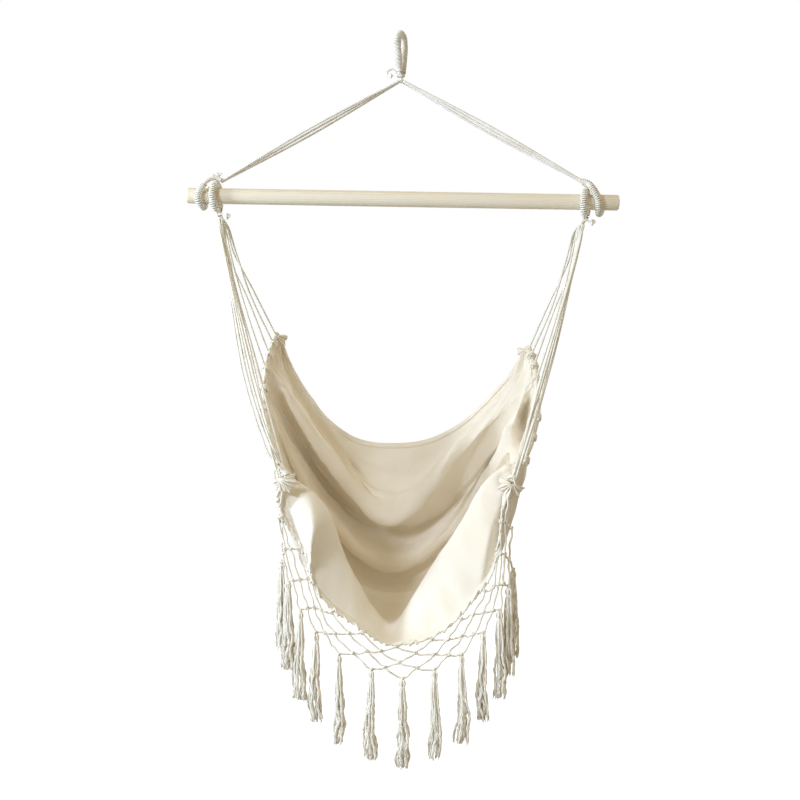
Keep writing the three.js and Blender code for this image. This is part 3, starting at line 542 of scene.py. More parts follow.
def twine_rings(path, radius, out, down):
    """Rings of a winding's twine, from the directions out of the winding and along it."""
    around = turn_of(6)
    size = np.full((len(path), 1), radius)
    return rings_of(path, np.cos(around) * size, np.sin(around) * size, out, down)


def stacked_wraps(top, bottom, radii, width):
    """A helix of twine down a vertical line, as wide at each height as the list of radii says."""
    turns = (top - bottom) / width
    count = int(turns * 14) + 1
    share = np.linspace(0, 1, count)
    reach = np.interp(share, np.linspace(0, 1, len(radii)), radii)
    angle = share * turns * tau
    out = np.stack([np.cos(angle), np.sin(angle), 0 * angle], 1)
    down = np.tile([0, 0, -1.0], (count, 1))
    path = out * reach[:, None] + np.stack([0 * share, 0 * share, top + (bottom - top) * share], 1)
    return twine_rings(path, width / 2, out, down * 1.05)


collar_top = -eye_throat_drop - seat_gap
collar_bottom = collar_top - collar_height
collar_line = np.array([[0, 0, z] for z in (collar_top, collar_top - 1, collar_bottom + 1, collar_bottom)])
skin("throat_wraps", [stacked_wraps(collar_top - 1.2, collar_bottom + 1.2, [9.0, 9.2, 7.6], 2.3),
                      round_rings(collar_line, [7, 8.4, 7.6, 5], 20)],
     twine_cotton, "throat_collar", ["throat_collar"])
seizing_drop = eye_throat_drop + collar_height + 2 * seat_gap + seizing_radius
ball = np.linspace(-1, 1, 12)
ball_line = np.stack([0 * ball, 0 * ball, -seizing_drop - 5.8 * ball], 1)
skin("seizing_wraps", [stacked_wraps(-seizing_drop + 5, -seizing_drop - 5, [3.2, 5.0, 5.6, 5.0, 3.2], 2.2),
                       round_rings(ball_line, 5.6 * np.sqrt(1.02 - ball**2), 20)],
     twine_cotton, "throat_seizing", ["throat_seizing"])


# Ropes at the bar's ends
def bridle_loop(end):
    """Rope over the clew loop, down the front and back of the bar and under it."""
    over_bar = bar_radius + seat_gap + bridle_rope
    rise = bridle_rises[end.name]
    leg_radius = bridle_rope if rise > 0 else bridle_core / 2
    over_clew = bar_radius + 3 * seat_gap + 2 * clew_rope + leg_radius
    leg = bridle_rope + seat_gap
    beside = clew_rope + bridle_beside + bridle_rope
    half = [
        (-bridle_entry, -leg, over_clew + bridle_entry * rise),
        (-bridle_entry * 0.35, -leg, over_clew + bridle_entry * max(rise, 0) * 0.36),
        (beside * 0.45, -over_bar * 0.5, over_clew * 0.93),
        (beside, -over_bar * 0.86, over_bar * 0.98),
        (bridle_out, -over_bar, 0),
        (bridle_out * 0.98, -over_bar * 0.72, -over_bar * 0.72),
    ]
    return end.loop(half, (bridle_out * 0.92, 0, -over_bar))


def clew_loop(end):
    """Rope over the bar, whose two legs meet in the neck below it."""
    ring = bar_radius + 2 * seat_gap + clew_rope
    leg = clew_core / 2 + seat_gap
    half = [
        (-neck_lean, -leg, -neck_bottom),
        (-neck_lean * 0.62, -leg, -(neck_top + neck_bottom) / 2),
        (-neck_lean * 0.3, -leg - clew_rope * 0.45, -neck_top + clew_rope * 0.2),
        (-neck_lean * 0.08, -ring * 0.83, -ring * 0.8),
        (0, -ring, 0),
        (0, -ring * math.sqrt(0.5), ring * math.sqrt(0.5)),
    ]
    return end.loop(half, (0, 0, ring))


def neck_wraps(end):
    """Twine wound flat round both legs of the neck, over a packing of cotton."""
    turns, steps, twine_radius = 9, 18, 1.25
    share = np.linspace(0, 1, turns * steps + 1)
    centre = np.array([end.at(-neck_lean * (0.45 + 0.55 * s), 0, -neck_top - (neck_bottom - neck_top) * s)
                       for s in share])
    bulge = 0.86 + 0.1 * np.sin(math.pi * share)
    angle = share * turns * tau
    out = np.stack([np.cos(angle) * neck_half_width, np.sin(angle) * neck_half_depth, 0 * angle], 1)
    path = centre + out * bulge[:, None]
    down = np.tile(unit(centre[-1] - centre[0]), (len(path), 1))
    wraps = twine_rings(path, twine_radius, unit(out), down)
    around = turn_of(16)
    oval = np.stack([np.cos(around) * neck_half_width, -np.sin(around) * neck_half_depth, 0 * around], 1)
    packing_line = np.array([centre[int(s * (len(centre) - 1))] for s in (0, 0.05, 0.5, 0.95, 1)])
    packing = packing_line[:, None] + oval * np.array([0.6, 0.8, 0.92, 0.8, 0.6])[:, None, None]
    return [wraps, packing]


def taut_cord(name, points, diameter, lay, material, body, *replaced):
    """A laid cord drawn taut through points, held by the chair at both ends."""
    route, rings = laid_rope(points, diameter, lay)
    cord = skin(name, [rings], material, body, replaced)


def wound_loop(name, line, core, thick, share, body, *bound_in):
    """A rope loop and the twine round it, with what is bound in with the rope."""
    skin(f"{name}_loop_rope", [round_rings(line, core / 2 + rope_proud, 12), *bound_in], rope_cotton, body,
         [f"{name}_loop"])
    skin(f"{name}_loop_winding", [wound(line, core, loop_wrap_width, thick, share)], wound_cotton, body,
         [f"{name}_whipping"])


def bridle_side(end):
    """The loop at one end of the bar and its three cords, which spread from the seizing."""
    line = bridle_loop(end)
    wound_loop(f"{end.name}_bridle", line, bridle_core, loop_wrap_thick[end.name], bridle_wound[end.name],
               "bridle")
    legs = (line[0] + line[-1]) / 2
    seizing = np.array([0, 0, -seizing_drop])
    direction = unit(legs - seizing)
    start = seizing + direction * (seizing_radius + seat_gap)
    stop = legs - direction * 2 * seat_gap
    across = np.array([0, 1.0, 0])
    over = unit(np.cross(direction, across))
    pitch = bridle_cord + bridle_cord_gap
    for number, k in enumerate((-1, 0, 1), 1):
        middle = (start + stop) / 2 + across * k * (pitch + bridle_spread)
        middle = middle - over * k * end.side * bridle_spread
        points = [start + across * k * pitch, middle, stop + across * k * pitch]
        taut_cord(f"{end.name}_bridle_rope_{number}", points, bridle_cord, bridle_cord_lay, rope_cotton,
                  "bridle", f"{end.name}_bridle_cord_{number}")


def clew_side(end):
    """The clew loop, its bound neck and the knotted end of the neck's twine."""
    wound_loop(f"{end.name}_clew", clew_loop(end), clew_core, loop_wrap_thick[end.name], clew_wound, "sling",
               *neck_wraps(end))
    y = -(neck_half_depth + seat_gap + tail_cord / 2)
    root = end.at(-neck_lean * 0.6, 0, -neck_bottom + tail_knot)
    tail_shares = [(-0.1, 0), (0.3, 0.16), (0.55, 0.1), (0.72, 0.02), (0.85, -0.02), (1, -0.04)]
    line = spline([(root[0] + a * tail_reach, y, root[2] + b * tail_reach) for a, b in tail_shares])
    knot = (root[0] + 0.86 * tail_reach, y, root[2] - 0.02 * tail_reach)
    skin(f"{end.name}_clew_knot", [round_rings(line, 2.7, sides=9, lobes=3, depth=0.2, pitch=7),
                                   knot_rings(knot, size=17, cord=5.8, turn=0.4)],
         twine_cotton, "sling", [f"{end.name}_clew_tail"])


for end in bar_ends:
    bridle_side(end)
    clew_side(end)


# Frayed ends that stand up where the left bridle loop's legs are bound
rng = np.random.default_rng(61)
tuft = []
for strand in range(12):
    root = bar_ends[0].at(rng.uniform(-6, 2), rng.uniform(-6, 4), bar_radius + 2 * clew_rope + 3)
    lean, curl, tall = rng.uniform(-9, 7), rng.uniform(2, 4), rng.uniform(9, 17)
    t = np.linspace(0, 1, 14)
    x = lean * t + curl * np.sin(t * 5 + strand)
    y = rng.uniform(-4, 4) * t + curl * np.cos(t * 4)
    tuft.append(round_rings(root + np.stack([x, y, tall * np.sin(t * 2.2)], 1), 1.3 * (1 - 0.5 * t), 5))
skin("left_bridle_tuft", tuft, twine_cotton, "bridle", [])

# Sling: the lines that hang across it between its edges, as the solids have them
def sling_point(x, depth, drop):
    """A point of the sling, from its share of the depth and its height below the hook."""
    return np.array([x, sling_set_back + depth * sling_depth, -drop])


edges = {side: spline([sling_point(side * out * half_sling, depth, back_corner_drop + drop * side_drop)
                       for out, depth, drop in shares], 800) for side, shares in edge_shares.items()}
middle = spline([sling_point(middle_off_centre, depth, back_corner_drop + back_sag + drop * belly_drop)
                 for depth, drop in middle_shares], 1600)


def from_table(table, along):
    """How a line across the sling hangs, between the rows of the table."""
    row = int(np.clip(np.searchsorted(table[:, 0], along), 1, len(table) - 1))
    a, b = table[row - 1], table[row]
    t = (along - a[0]) / (b[0] - a[0])
    return (a + (b - a) * t * t * (3 - 2 * t))[1:]


def line_across(along, shares):
    """Points at shares of the length of one line across the sling."""
    low = at(middle, [along])[0]
    share = np.linspace(0, 1, 61)[:, None]
    rounded = np.hypot(share, middle_rounding) - middle_rounding
    rounded = rounded / rounded[-1]
    halves = []
    for side in (-1, 1):
        power, steep, peak, depth_power = from_table(hang_shares[side], along)
        rise = (1 - steep) * rounded**power + steep * rounded**steep_power
        rise = rise + peak * rounded**peak_power * (1 - rounded)
        far = at(edges[side], [along])[0] - low
        halves.append(low + np.hstack([far[0] * share, far[1] * share**depth_power, far[2] * rise]))
    return at(np.vstack([halves[0][::-1], halves[1][1:]]), shares)


def cloth_grid(alongs, shares):
    return np.array([line_across(a, shares) for a in alongs])


def normals_of(grid):
    """Normals on the sitter's side of a grid of cloth."""
    return unit(np.cross(np.gradient(grid, axis=0), np.gradient(grid, axis=1)))


cloth_rows, cloth_columns = 346, 138


def graded(count, dense):
    """Shares from 0 to 1 that lie closer together towards both ends."""
    even = np.linspace(0, 1, count + 1)
    return even - dense * np.sin(tau * even) / tau


alongs = graded(cloth_rows, 0.3)
shares = graded(cloth_columns, 0.62)
grid = cloth_grid(alongs, shares)
normal = normals_of(grid)
widths = np.array([lengths(row)[-1] for row in grid])
cloth_length = lengths(middle)[-1]
flat_u = (shares[None] - 0.5) * widths[:, None]
flat_v = np.repeat(alongs[:, None] * cloth_length, len(shares), 1)


# Folds: how far each reaches above and below its line, whether its crease is crisp, and then along,
# across and height at points of its line
folds = [
    (11, 15, True, [(0.11, 0.02, 2), (0.13, 0.1, 6), (0.14, 0.2, 9), (0.15, 0.3, 10), (0.165, 0.4, 10),
                    (0.17, 0.5, 9), (0.185, 0.6, 8), (0.17, 0.7, 7), (0.13, 0.8, 5), (0.09, 0.88, 1)]),
    (52, 50, False, [(0.06, 0.05, -2), (0.08, 0.15, -9), (0.09, 0.3, -15), (0.1, 0.45, -15),
                     (0.11, 0.6, -9), (0.1, 0.75, -3)]),
    (70, 15, True, [(0.24, 0.02, 6), (0.25, 0.1, 14), (0.25, 0.2, 20), (0.25, 0.35, 22), (0.25, 0.5, 22),
                    (0.25, 0.6, 22), (0.235, 0.67, 23), (0.21, 0.74, 22), (0.17, 0.8, 18), (0.12, 0.86, 12),
                    (0.07, 0.91, 5)]),
    (14, 45, False, [(0.3, 0.6, -4), (0.29, 0.7, -12), (0.27, 0.78, -12), (0.23, 0.86, -6)]),
    (30, 60, False, [(0.44, 0.98, -10), (0.47, 0.92, -24), (0.48, 0.85, -26), (0.47, 0.76, -18),
                     (0.46, 0.66, -5)]),
    (40, 26, True, [(0.22, 0.985, 4), (0.29, 0.96, 14), (0.33, 0.91, 22), (0.375, 0.866, 26),
                    (0.385, 0.81, 20), (0.38, 0.74, 10), (0.37, 0.66, 3)]),
    (16, 36, False, [(0.3, 0.03, -4), (0.29, 0.1, -9), (0.29, 0.25, -9), (0.3, 0.4, -7), (0.3, 0.5, -4)]),
    (14, 40, True, [(0.43, 0.03, 3), (0.42, 0.1, 7), (0.4, 0.2, 8), (0.37, 0.33, 8), (0.345, 0.42, 7),
                    (0.34, 0.5, 6), (0.33, 0.6, 6), (0.32, 0.7, 3)]),
    (36, 10, True, [(0.5, 0.05, 4), (0.5, 0.15, 8), (0.5, 0.3, 11), (0.5, 0.4, 11), (0.5, 0.5, 9),
                    (0.48, 0.6, 7), (0.46, 0.68, 3)]),
    (18, 8, True, [(0.64, 0.38, 2), (0.63, 0.44, 6), (0.63, 0.5, 6), (0.62, 0.56, 2)]),
    (14, 6, True, [(0.06, 0.36, -4), (0.085, 0.39, -14), (0.11, 0.425, -4)]),
    (24, 10, True, [(0.055, 0.41, 3), (0.075, 0.47, 13), (0.1, 0.55, 5)]),
    (7, 7, True, [(0.15, 0.38, -2), (0.185, 0.43, -7), (0.19, 0.47, -2)]),
    (7, 7, True, [(0.2, 0.4, -1), (0.185, 0.43, -6), (0.15, 0.47, -2)]),
    (8, 8, True, [(0.13, 0.5, -2), (0.17, 0.51, -6), (0.22, 0.5, -2)]),
    (12, 12, True, [(0.02, 0.93, -2), (0.06, 0.88, -6), (0.1, 0.82, -5), (0.14, 0.75, -2)]),
    (12, 9, True, [(0.05, 0.97, -3), (0.12, 0.93, -8), (0.18, 0.88, -5), (0.24, 0.83, -2)]),
    (8, 8, True, [(0.1, 0.95, 3), (0.15, 0.9, 7), (0.17, 0.86, 2)]),
    (7, 7, True, [(0, 0.015, -6), (0.04, 0.04, -8), (0.09, 0.07, -4), (0.12, 0.1, -1)]),
    (62, 60, True, [(0.87, 0.05, 6), (0.9, 0.11, 36), (0.935, 0.17, 58), (0.96, 0.2, 44), (0.99, 0.23, 10)]),
    (8, 8, False, [(0.955, 0.1, -2), (0.965, 0.135, -9), (0.975, 0.17, -2)]),
    (70, 70, True, [(0.88, 0.5, -4), (0.92, 0.5, -12), (0.96, 0.495, -11), (1, 0.49, -3)]),
    (10, 10, False, [(0.86, 0.03, -3), (0.89, 0.06, -8), (0.92, 0.09, -6), (0.95, 0.11, -2)]),
    (14, 60, True, [(0.93, 0.965, 4), (0.935, 0.92, 10), (0.94, 0.875, 12), (0.95, 0.83, 13),
                    (0.965, 0.78, 10), (0.99, 0.73, 4)]),
    (15, 15, False, [(0.955, 0.95, -6), (0.965, 0.9, -12), (0.975, 0.85, -12), (0.985, 0.8, -8),
                     (0.995, 0.75, -3)]),
    (10, 10, False, [(0.985, 0.97, 6), (0.99, 0.93, 8), (0.995, 0.88, 6), (1, 0.84, 3)]),
]


def flat_place(along, across):
    """Where a point of the cloth is when it is laid flat."""
    return (across - 0.5) * np.interp(along, alongs, widths), along * cloth_length


def fold_height(above, below, crisp, places):
    """How far one fold lifts each point of the cloth."""
    line = spline([(*flat_place(along, across), height) for along, across, height in places], 70)
    course = np.gradient(line[:, :2], axis=0)
    du, dv = flat_u[..., None] - line[:, 0], flat_v[..., None] - line[:, 1]
    away = np.hypot(du, dv)
    near = np.argmin(away, -1)
    pick = near[..., None]
    du, dv, away = (np.take_along_axis(a, pick, -1)[..., 0] for a in (du, dv, away))
    reach = np.where(course[near, 0] * dv - course[near, 1] * du > 0, below, above)
    fall = np.exp(-1.5 * (np.hypot(away, 3) - 3) / reach) if crisp else np.exp(-((away / reach) ** 2))
    return line[near, 2] * fall


def from_side(left):
    """How far each point of the flat cloth is from its left or right edge."""
    return (flat_u - flat_u[:, :1]) if left else (flat_u[:, -1:] - flat_u)


def corner_pleats(back, left, reach, height, count, seed):
    """Pleats that fan out from a corner, where the cloth is gathered into its knot."""
    rng = np.random.default_rng(seed)
    v = flat_v if back else cloth_length - flat_v
    u = from_side(left)
    radius, turn = np.hypot(u, v), np.arctan2(v, np.maximum(u, 1e-6))
    wobble = rng.uniform(0, tau) + 0.5 * np.sin(radius / 17 + rng.uniform(0, tau)) + 1.3 * np.sin(turn * 3)
    pleat = np.sin(turn * count * 4 + wobble)
    long = np.sin(turn * count * 1.6 + rng.uniform(0, tau)) * np.exp(-radius / (reach * 2.2)) * 0.7
    near = np.exp(-((radius / reach) ** 1.6)) * radius / (radius + 9)
    return height * (np.sign(pleat) * np.abs(pleat) ** 0.7 * near + long * np.clip(radius / 30, 0, 1))


def edge_shirring(left, seed):
    """Small puckers where the side hem is drawn up on its rope."""
    rng = np.random.default_rng(seed)
    inward = from_side(left)
    phase = flat_v / 15 + 0.9 * np.sin(flat_v / 61 + rng.uniform(0, tau)) + 0.6 * np.sin(flat_v / 23)
    size = 2.6 + 1.4 * np.sin(flat_v / 47 + rng.uniform(0, tau))
    longer = np.sin(phase * tau / 2.7 + inward / 60) * np.exp(-inward / 60) * 1.6
    return size * np.sin(phase * tau) * np.exp(-inward / 20) + longer


def slack(seed):
    """The unevenness of washed cloth."""
    rng = np.random.default_rng(seed)
    total = np.zeros_like(flat_u)
    for size, height in ((150, 2.2), (95, 1.5), (60, 0.8), (38, 0.4)):
        for _ in range(3):
            turn = rng.uniform(0, tau)
            cos, sin = math.cos(turn), math.sin(turn)
            course = (flat_u * cos + flat_v * sin) / size * tau
            bend = np.sin((flat_u * sin - flat_v * cos) / size * 2.3 + rng.uniform(0, tau))
            total += height / 3 * np.sin(course + 1.4 * bend + rng.uniform(0, tau))
    return total


lift = sum(fold_height(*fold) for fold in folds) + slack(3)
for back, left, reach, height, count, seed in (
        (False, True, 62, 9, 5, 21), (False, False, 62, 9, 5, 22),
        (True, True, 50, 8, 4, 23), (True, False, 60, 8, 4, 24)):
    lift += corner_pleats(back, left, reach, height, count, seed)
lift += edge_shirring(True, 31) + edge_shirring(False, 32)


def swell(across, reach, first, last, soft):
    """A smooth swelling of the cloth round one line, between two shares of its length."""
    over = 1 / (1 + np.exp(-(alongs - first) / soft)) / (1 + np.exp((alongs - last) / soft))
    away = shares[None] - np.broadcast_to(across, alongs.shape)[:, None]
    return (np.exp(-((away / reach) ** 2)) * over[:, None])[..., None]


# Broad swellings: which way each goes, its line across, its reach, its first and last share along and how
# softly it ends there
pocket = np.interp(alongs, [0.3, 0.36, 0.42, 0.6], [0.97, 0.95, 0.93, 0.915])
hollow = np.interp(alongs, [0.34, 0.38, 0.42, 0.46, 0.52], [0.81, 0.755, 0.7, 0.65, 0.6])
swellings = [
    ((-24, -6, 0), 0.07, 0.07, 0.9, 1.2, 0.02),
    ((0, 0, -17), 0.6, 0.09, 0.93, 1.3, 0.02),
    ((0, 72, 0), pocket, 0.034, 0.33, 0.6, 0.02),
    ((0, 42, 0), hollow, 0.07, 0.35, 0.52, 0.015),
]
grid = grid + normal * lift[..., None]
for way, *course in swellings:
    grid = grid + np.array(way, float) * swell(*course)
normal = normals_of(grid)


def cloth_piece(name, grid, thickness, *replaced):
    """A sheet of canvas from a grid of points, with its threads' own coordinates as UV, in metres."""
    rows, columns, _ = grid.shape
    i, j = (a.ravel() for a in np.meshgrid(np.arange(rows - 1), np.arange(columns - 1), indexing="ij"))
    corners = [(i, j), (i, j + 1), (i + 1, j + 1), (i + 1, j)]
    faces = np.stack([a * columns + b for a, b in corners], 1)[:, ::-1]
    down = lengths(grid[:, columns // 2]) * mm
    across = lengths(grid[rows // 2]) * mm
    uvs = np.stack([np.stack([across[b], down[a]], 1) for a, b in corners[::-1]], 1).reshape(-1, 2)
    points = grid.reshape(-1, 3)
    piece = piece_of(name, points, faces.tolist(), uvs, canvas, "sling", replaced)
    solid = piece.modifiers.new("thickness", "SOLIDIFY")
    solid.thickness = thickness * mm
    solid.offset = 0
    bpy.context.view_layer.objects.active = piece
    bpy.ops.object.modifier_apply(modifier="thickness")
    return piece


sling = cloth_piece("canvas_sling", grid, canvas_thick, "sling_cloth")

# Edge ropes rolled in the side hems
edge_ropes = {}
for side in (-1, 1):
    points = []
    for along in np.linspace(0, 1, 15):
        row = line_across(along, [0, 1 / 14] if side < 0 else [1, 13 / 14])
        points.append(row[0] + unit(row[0] - row[1]) * (cloth_thickness + 3 * seat_gap + edge_rope_radius))
    edge_ropes[side] = spline(points, 600)


def gathered_casing(line, seed):
    """The side hem round its rope, gathered into small puckers."""
    step, pucker_pitch, hollow_radius, pucker_rise = 1.7, 9, 4.9, 2.6
    rng = np.random.default_rng(seed)
    length = lengths(line)[-1]
    steps = int(length / step)
    line = at(line, np.linspace(0, 1, steps))
    along = np.linspace(0, length, steps)
    pitch = pucker_pitch + np.cumsum(rng.normal(0, 0.25, steps)).clip(-2.5, 3)
    phase = np.cumsum(length / steps / pitch)
    around = turn_of(20)
    pucker = np.abs(np.sin(math.pi * (phase[:, None] + 0.25 * np.sin(around + along[:, None] / 23))))
    twisting = 0.12 * np.sin(along[:, None] / 17 + 2 * np.sin(around))
    radius = (hollow_radius + pucker_rise * pucker**0.7) * (1 + twisting + 0.1 * np.sin(along[:, None] / 41))
    _, first, second = frames_along(line)
    return rings_of(line, radius * np.cos(around), radius * np.sin(around), first, second)


trims = []
for end in bar_ends:
    casing = gathered_casing(edge_ropes[end.side], 11 + end.side)
    trims.append(skin(f"{end.name}_side_hem", [casing], canvas, "sling", [f"{end.name}_edge_rope"]))


def inward_from_hem(back, reach):
    """The points of the cloth at a distance from its back or front hem, and the normals there."""
    v = reach / cloth_length
    wanted = v if back else 1 - v
    row = np.interp(wanted, alongs, np.arange(len(alongs)))
    low = min(int(row), len(alongs) - 2)
    part = row - low
    return grid[low] * (1 - part) + grid[low + 1] * part, normal[low] * (1 - part) + normal[low + 1] * part


def hem_band(name, back, width):
    """The turned and stitched edge of the cloth, a second layer along the hem, with its seam."""
    rows = []
    for reach, proud in ((0, 0.9), (1.5, 1.9), (width - 2, 1.9), (width, 0.9)):
        points, out = inward_from_hem(back, reach)
        rows.append(points + out * proud)
    band = np.array(rows if back else rows[::-1])
    piece = cloth_piece(name, band, hem_thick)
    points, out = inward_from_hem(back, width - 3)
    seam = at(points + unit(out) * 2.5, np.linspace(0, 1, 1200))
    along = lengths(seam)
    stitch, spacing = 3.4, 5.0
    stitches = []
    for start in np.arange(4, along[-1] - 6, spacing):
        places = start + np.array([0, stitch / 2, stitch])
        points = np.stack([np.interp(places, along, seam[:, axis]) for axis in range(3)], 1)
        stitches.append(round_rings(points, [0.35, 0.6, 0.35], 5))
    seam_piece = skin(f"{name}_stitching", stitches, twine_cotton, "sling", [])
    return [piece, seam_piece]


trims += hem_band("back_hem", True, back_hem_width) + hem_band("front_hem", False, front_hem_width)


def gathered_corner(name, centre, facing, down, reach, spread, pleats, seed):
    """The corner of the cloth drawn together by its knot: uneven pleats that fan out over the sling."""
    rng = np.random.default_rng(seed)
    facing = unit(np.array(facing, float))
    down = np.array(down, float)
    down = unit(down - facing * (facing @ down))
    side = np.cross(facing, down)
    share = np.linspace(0, 1, pleats * 10 + 1)
    turn = ((share - 0.5) * spread)[None]
    out = np.linspace(0, 1, 15)[:, None]
    knots = np.linspace(0, 1, pleats * 2 + 1)
    long = np.interp(share, knots, rng.uniform(0.72, 1.15, len(knots)))[None]
    deep = np.interp(share, knots, rng.uniform(0.5, 1.5, len(knots)))[None]
    uneven = np.interp(share, knots, np.arange(len(knots)) + rng.uniform(-0.35, 0.35, len(knots)))[None]
    fold = np.sin(uneven * math.pi + 0.8 * np.sin(out * 3 + rng.uniform(0, tau)))
    depth = 4.6 * deep * np.sign(fold) * np.abs(fold) ** 0.7 * out**0.8 * (1 - 0.5 * out**3)
    radius = 2.5 + (reach * long - 2.5) * out
    rise = 6 * (1 - out) ** 1.5 - 11 * out**2.2
    points = (np.asarray(centre) + down * (np.cos(turn) * radius)[..., None]
              + side * (np.sin(turn) * radius)[..., None] + facing * (depth + rise)[..., None])
    return cloth_piece(name, points, gathers_thick)


# The corners' own place, the step to the knot, and the gathers' facing, course, reach, spread and pleats
gathers = {
    "left_front": (grid[-1, 0], (-1, -10, 3), (-0.5, -1, 0.1), (0.35, 0, -1), 30, 3.4, 9, 51),
    "right_front": (grid[-1, -1], (1, -10, 3), (-0.1, -1, 0.1), (-0.45, 0, -1), 30, 3.4, 9, 52),
    "left_back": (grid[0, 0], (-1, -8, 2), (0.1, -1, 0.2), (0.45, 0, -1), 27, 3.0, 7, 53),
    "right_back": (grid[0, -1], (1, -8, 2), (-0.2, -1, 0.2), (-0.45, 0, -1), 29, 3.0, 7, 54),
}
for name, (corner, step, *shape) in gathers.items():
    trims.append(gathered_corner(f"{name}_gathers", corner + step, *shape))

# Fringe net
column_shares = np.linspace(0, 1, 2 * (tassel_count - 1) + 1)
hem_points = at(grid[-1], column_shares)
above_hem = at(inward_from_hem(False, 40)[0], column_shares)
tassel_drop = back_corner_drop + back_sag + belly_drop + net_drop
tassel_tops = [sling_point(out * half_sling, depth, tassel_drop - rise * tassel_rise)
               for out, depth, rise in tassel_shares]


def tassel_top(share):
    """A point of the line of the tassels' tops, at a share of its spans and not of its length."""
    place = share * (tassel_count - 1)
    span = min(int(place), tassel_count - 2)
    return curve(*with_ends(tassel_tops)[span:span + 4], place - span)


def knot_place(row, column):
    """Row 0 is at the hem and the last row at the tassels; column counts in halves."""
    k = int(column * 2)
    outward = unit(hem_points[k] - above_hem[k])
    start = hem_points[k] + outward * (cloth_thickness + net_hem_gap + net_cord)
    stop = tassel_top(column / (tassel_count - 1))
    return start + (stop - start) * row / net_rows


def hem_lacing():
    """The cord that laces the net to the hem, in and out of the cloth."""
    holes_in, below_hem, off_cloth = 12, 7, 4.5
    places = np.linspace(0, 1, 141)
    hem = at(grid[-1], places)
    inside = at(inward_from_hem(False, holes_in)[0], places)
    faces = np.array([0.0, -1.0, 0.1])
    swing = (np.arange(len(places)) % 4)[:, None]
    down = unit(hem - inside)
    below = hem + down * below_hem
    over = inside + faces * off_cloth
    behind = inside - faces * off_cloth
    return np.where(swing == 0, over, np.where(swing == 2, behind, below))


def fringe_net():
    """Rows of knots from the hem to the tassels, each tied to the two below it by slack strands."""
    rng = np.random.default_rng(5)
    parts = [laid_rope(hem_lacing(), net_strand, net_lay)[1]]
    for row in range(net_rows + 1):
        shift = 0.5 if (net_rows - row) % 2 else 0
        for column in np.arange(shift, tassel_count - 1 + 0.1, 1):
            here = knot_place(row, column)
            parts.append(knot_rings(here, rng.uniform(10, 12.5), net_knot_cord, rng.uniform(0, 3)))
            for beside in (-0.5, 0.5):
                if row < net_rows and 0 <= column + beside <= tassel_count - 1:
                    there = knot_place(row + 1, column + beside)
                    span = np.linalg.norm(there - here)
                    route = [here]
                    for t in (0.25, 0.5, 0.75):
                        stray = np.array([rng.normal(0, 1.5), rng.normal(0, 1.2), rng.normal(0, 1.2)])
                        stray[2] -= 0.22 * span * t * (1 - t)
                        route.append(here + (there - here) * t + stray)
                    parts.append(laid_rope([*route, there], net_strand, net_lay)[1])
    return parts


net = skin("knotted_fringe", fringe_net(), cord_cotton, "sling", ["fringe_net"])


# Clew cords and the net's corner cords
def cord_start(end, index, count):
    """Where a cord leaves the neck: the cords lie close there, in five rows and nested in depth."""
    pitch = clew_cord + clew_cord_gap
    row = (0, -1, 1, -0.5, 0.6)[index % 5]
    nesting = 0.46
    y = ((count - 1) / 2 - index) * pitch * nesting
    centre = end.at(-neck_lean, 0, -neck_bottom)
    return np.array([centre[0] + end.side * row * pitch, y, centre[2] + 2])


def cord_piece(name, points, *replaced):
    """One of the cords between a neck and the sling."""
    taut_cord(name, points, clew_cord, clew_cord_lay, cord_cotton, "sling", *replaced)


def hitch(line, share, seed):
    """Two turns of a cord round the side hem, where it is made fast, and its short end."""
    rng = np.random.default_rng(seed)
    around = at(line, share + np.array([-0.004, 0, 0.004]))
    along = unit(around[2] - around[0])
    first = unit(np.cross(along, [0.3, 1, 0.2]))
    second = np.cross(along, first)
    turn = np.linspace(0, 2.2, 50)[:, None] * tau
    coil_radius, short_end = 9.2, 3.6
    out = np.cos(turn) * first + np.sin(turn) * second
    coil = around[1] + along * ((turn / tau - 1) * clew_cord) + coil_radius * out
    last = coil[-1]
    end = last + unit(last - around[1]) * 5 + np.array([rng.uniform(-5, 5), -3, -rng.uniform(8, 14)])
    loose = laid_rope([last, (last + end) / 2 + [0, -3, 0], end], short_end, short_cord_lay)[1]
    return [round_rings(coil, clew_cord / 2, 7), loose]


# The corner cords: where on the side hem each ends, and how far outward it hangs at shares of its length
corner_cords = {
    -1: [
        (0.965, ((0.3, 23), (0.62, 39), (0.84, 33), (0.95, 22))),
        (0.95, ((0.3, 16), (0.65, 28), (0.9, 18))),
        (0.93, ((0.3, 7), (0.65, 17), (0.9, 11))),
    ],
    1: [
        (0.9, ((0.25, 11), (0.6, 13))),
        (0.95, ((0.25, 6), (0.6, 7))),
        (0.93, ((0.25, 0.5), (0.6, -3))),
    ],
}
cord_count = len(clew_cord_shares) + 1


def bowed(end, start, stop, bows, forward=0):
    """The points of a cord that bows outward between its ends, at shares of the way."""
    way = [start + (stop - start) * t + np.array([end.side * bow, -forward, 0]) for t, bow in bows]
    return [start, *way, stop]


def clew_line(end, rope, i):
    """One of the cords from the neck to the side edge, which stops short of the edge rope."""
    share = clew_cord_shares[i]
    start = cord_start(end, i, cord_count)
    before, target, after = at(rope, [share - 0.005, share, share + 0.005])
    direction = unit(target - start)
    lean = abs(direction @ unit(after - before))
    reach = edge_rope_radius / math.cos(math.pi / 8)
    short = (reach + seat_gap + clew_cord / 2 * lean) / math.sqrt(1 - lean * lean)
    bows = ((0.06, (i - 4) * 0.25), (0.25, (1.5, 0.3, 1.9, 0.9)[i % 4]), (0.6, (0.7, 1.6, 0.4, 1.2)[i % 4]))
    points = bowed(end, start, target - direction * short, [(t, bow * clew_cord_bow) for t, bow in bows])
    cord_piece(f"{end.name}_clew_line_{i + 1}", points, f"{end.name}_clew_cord_{i + 1}")


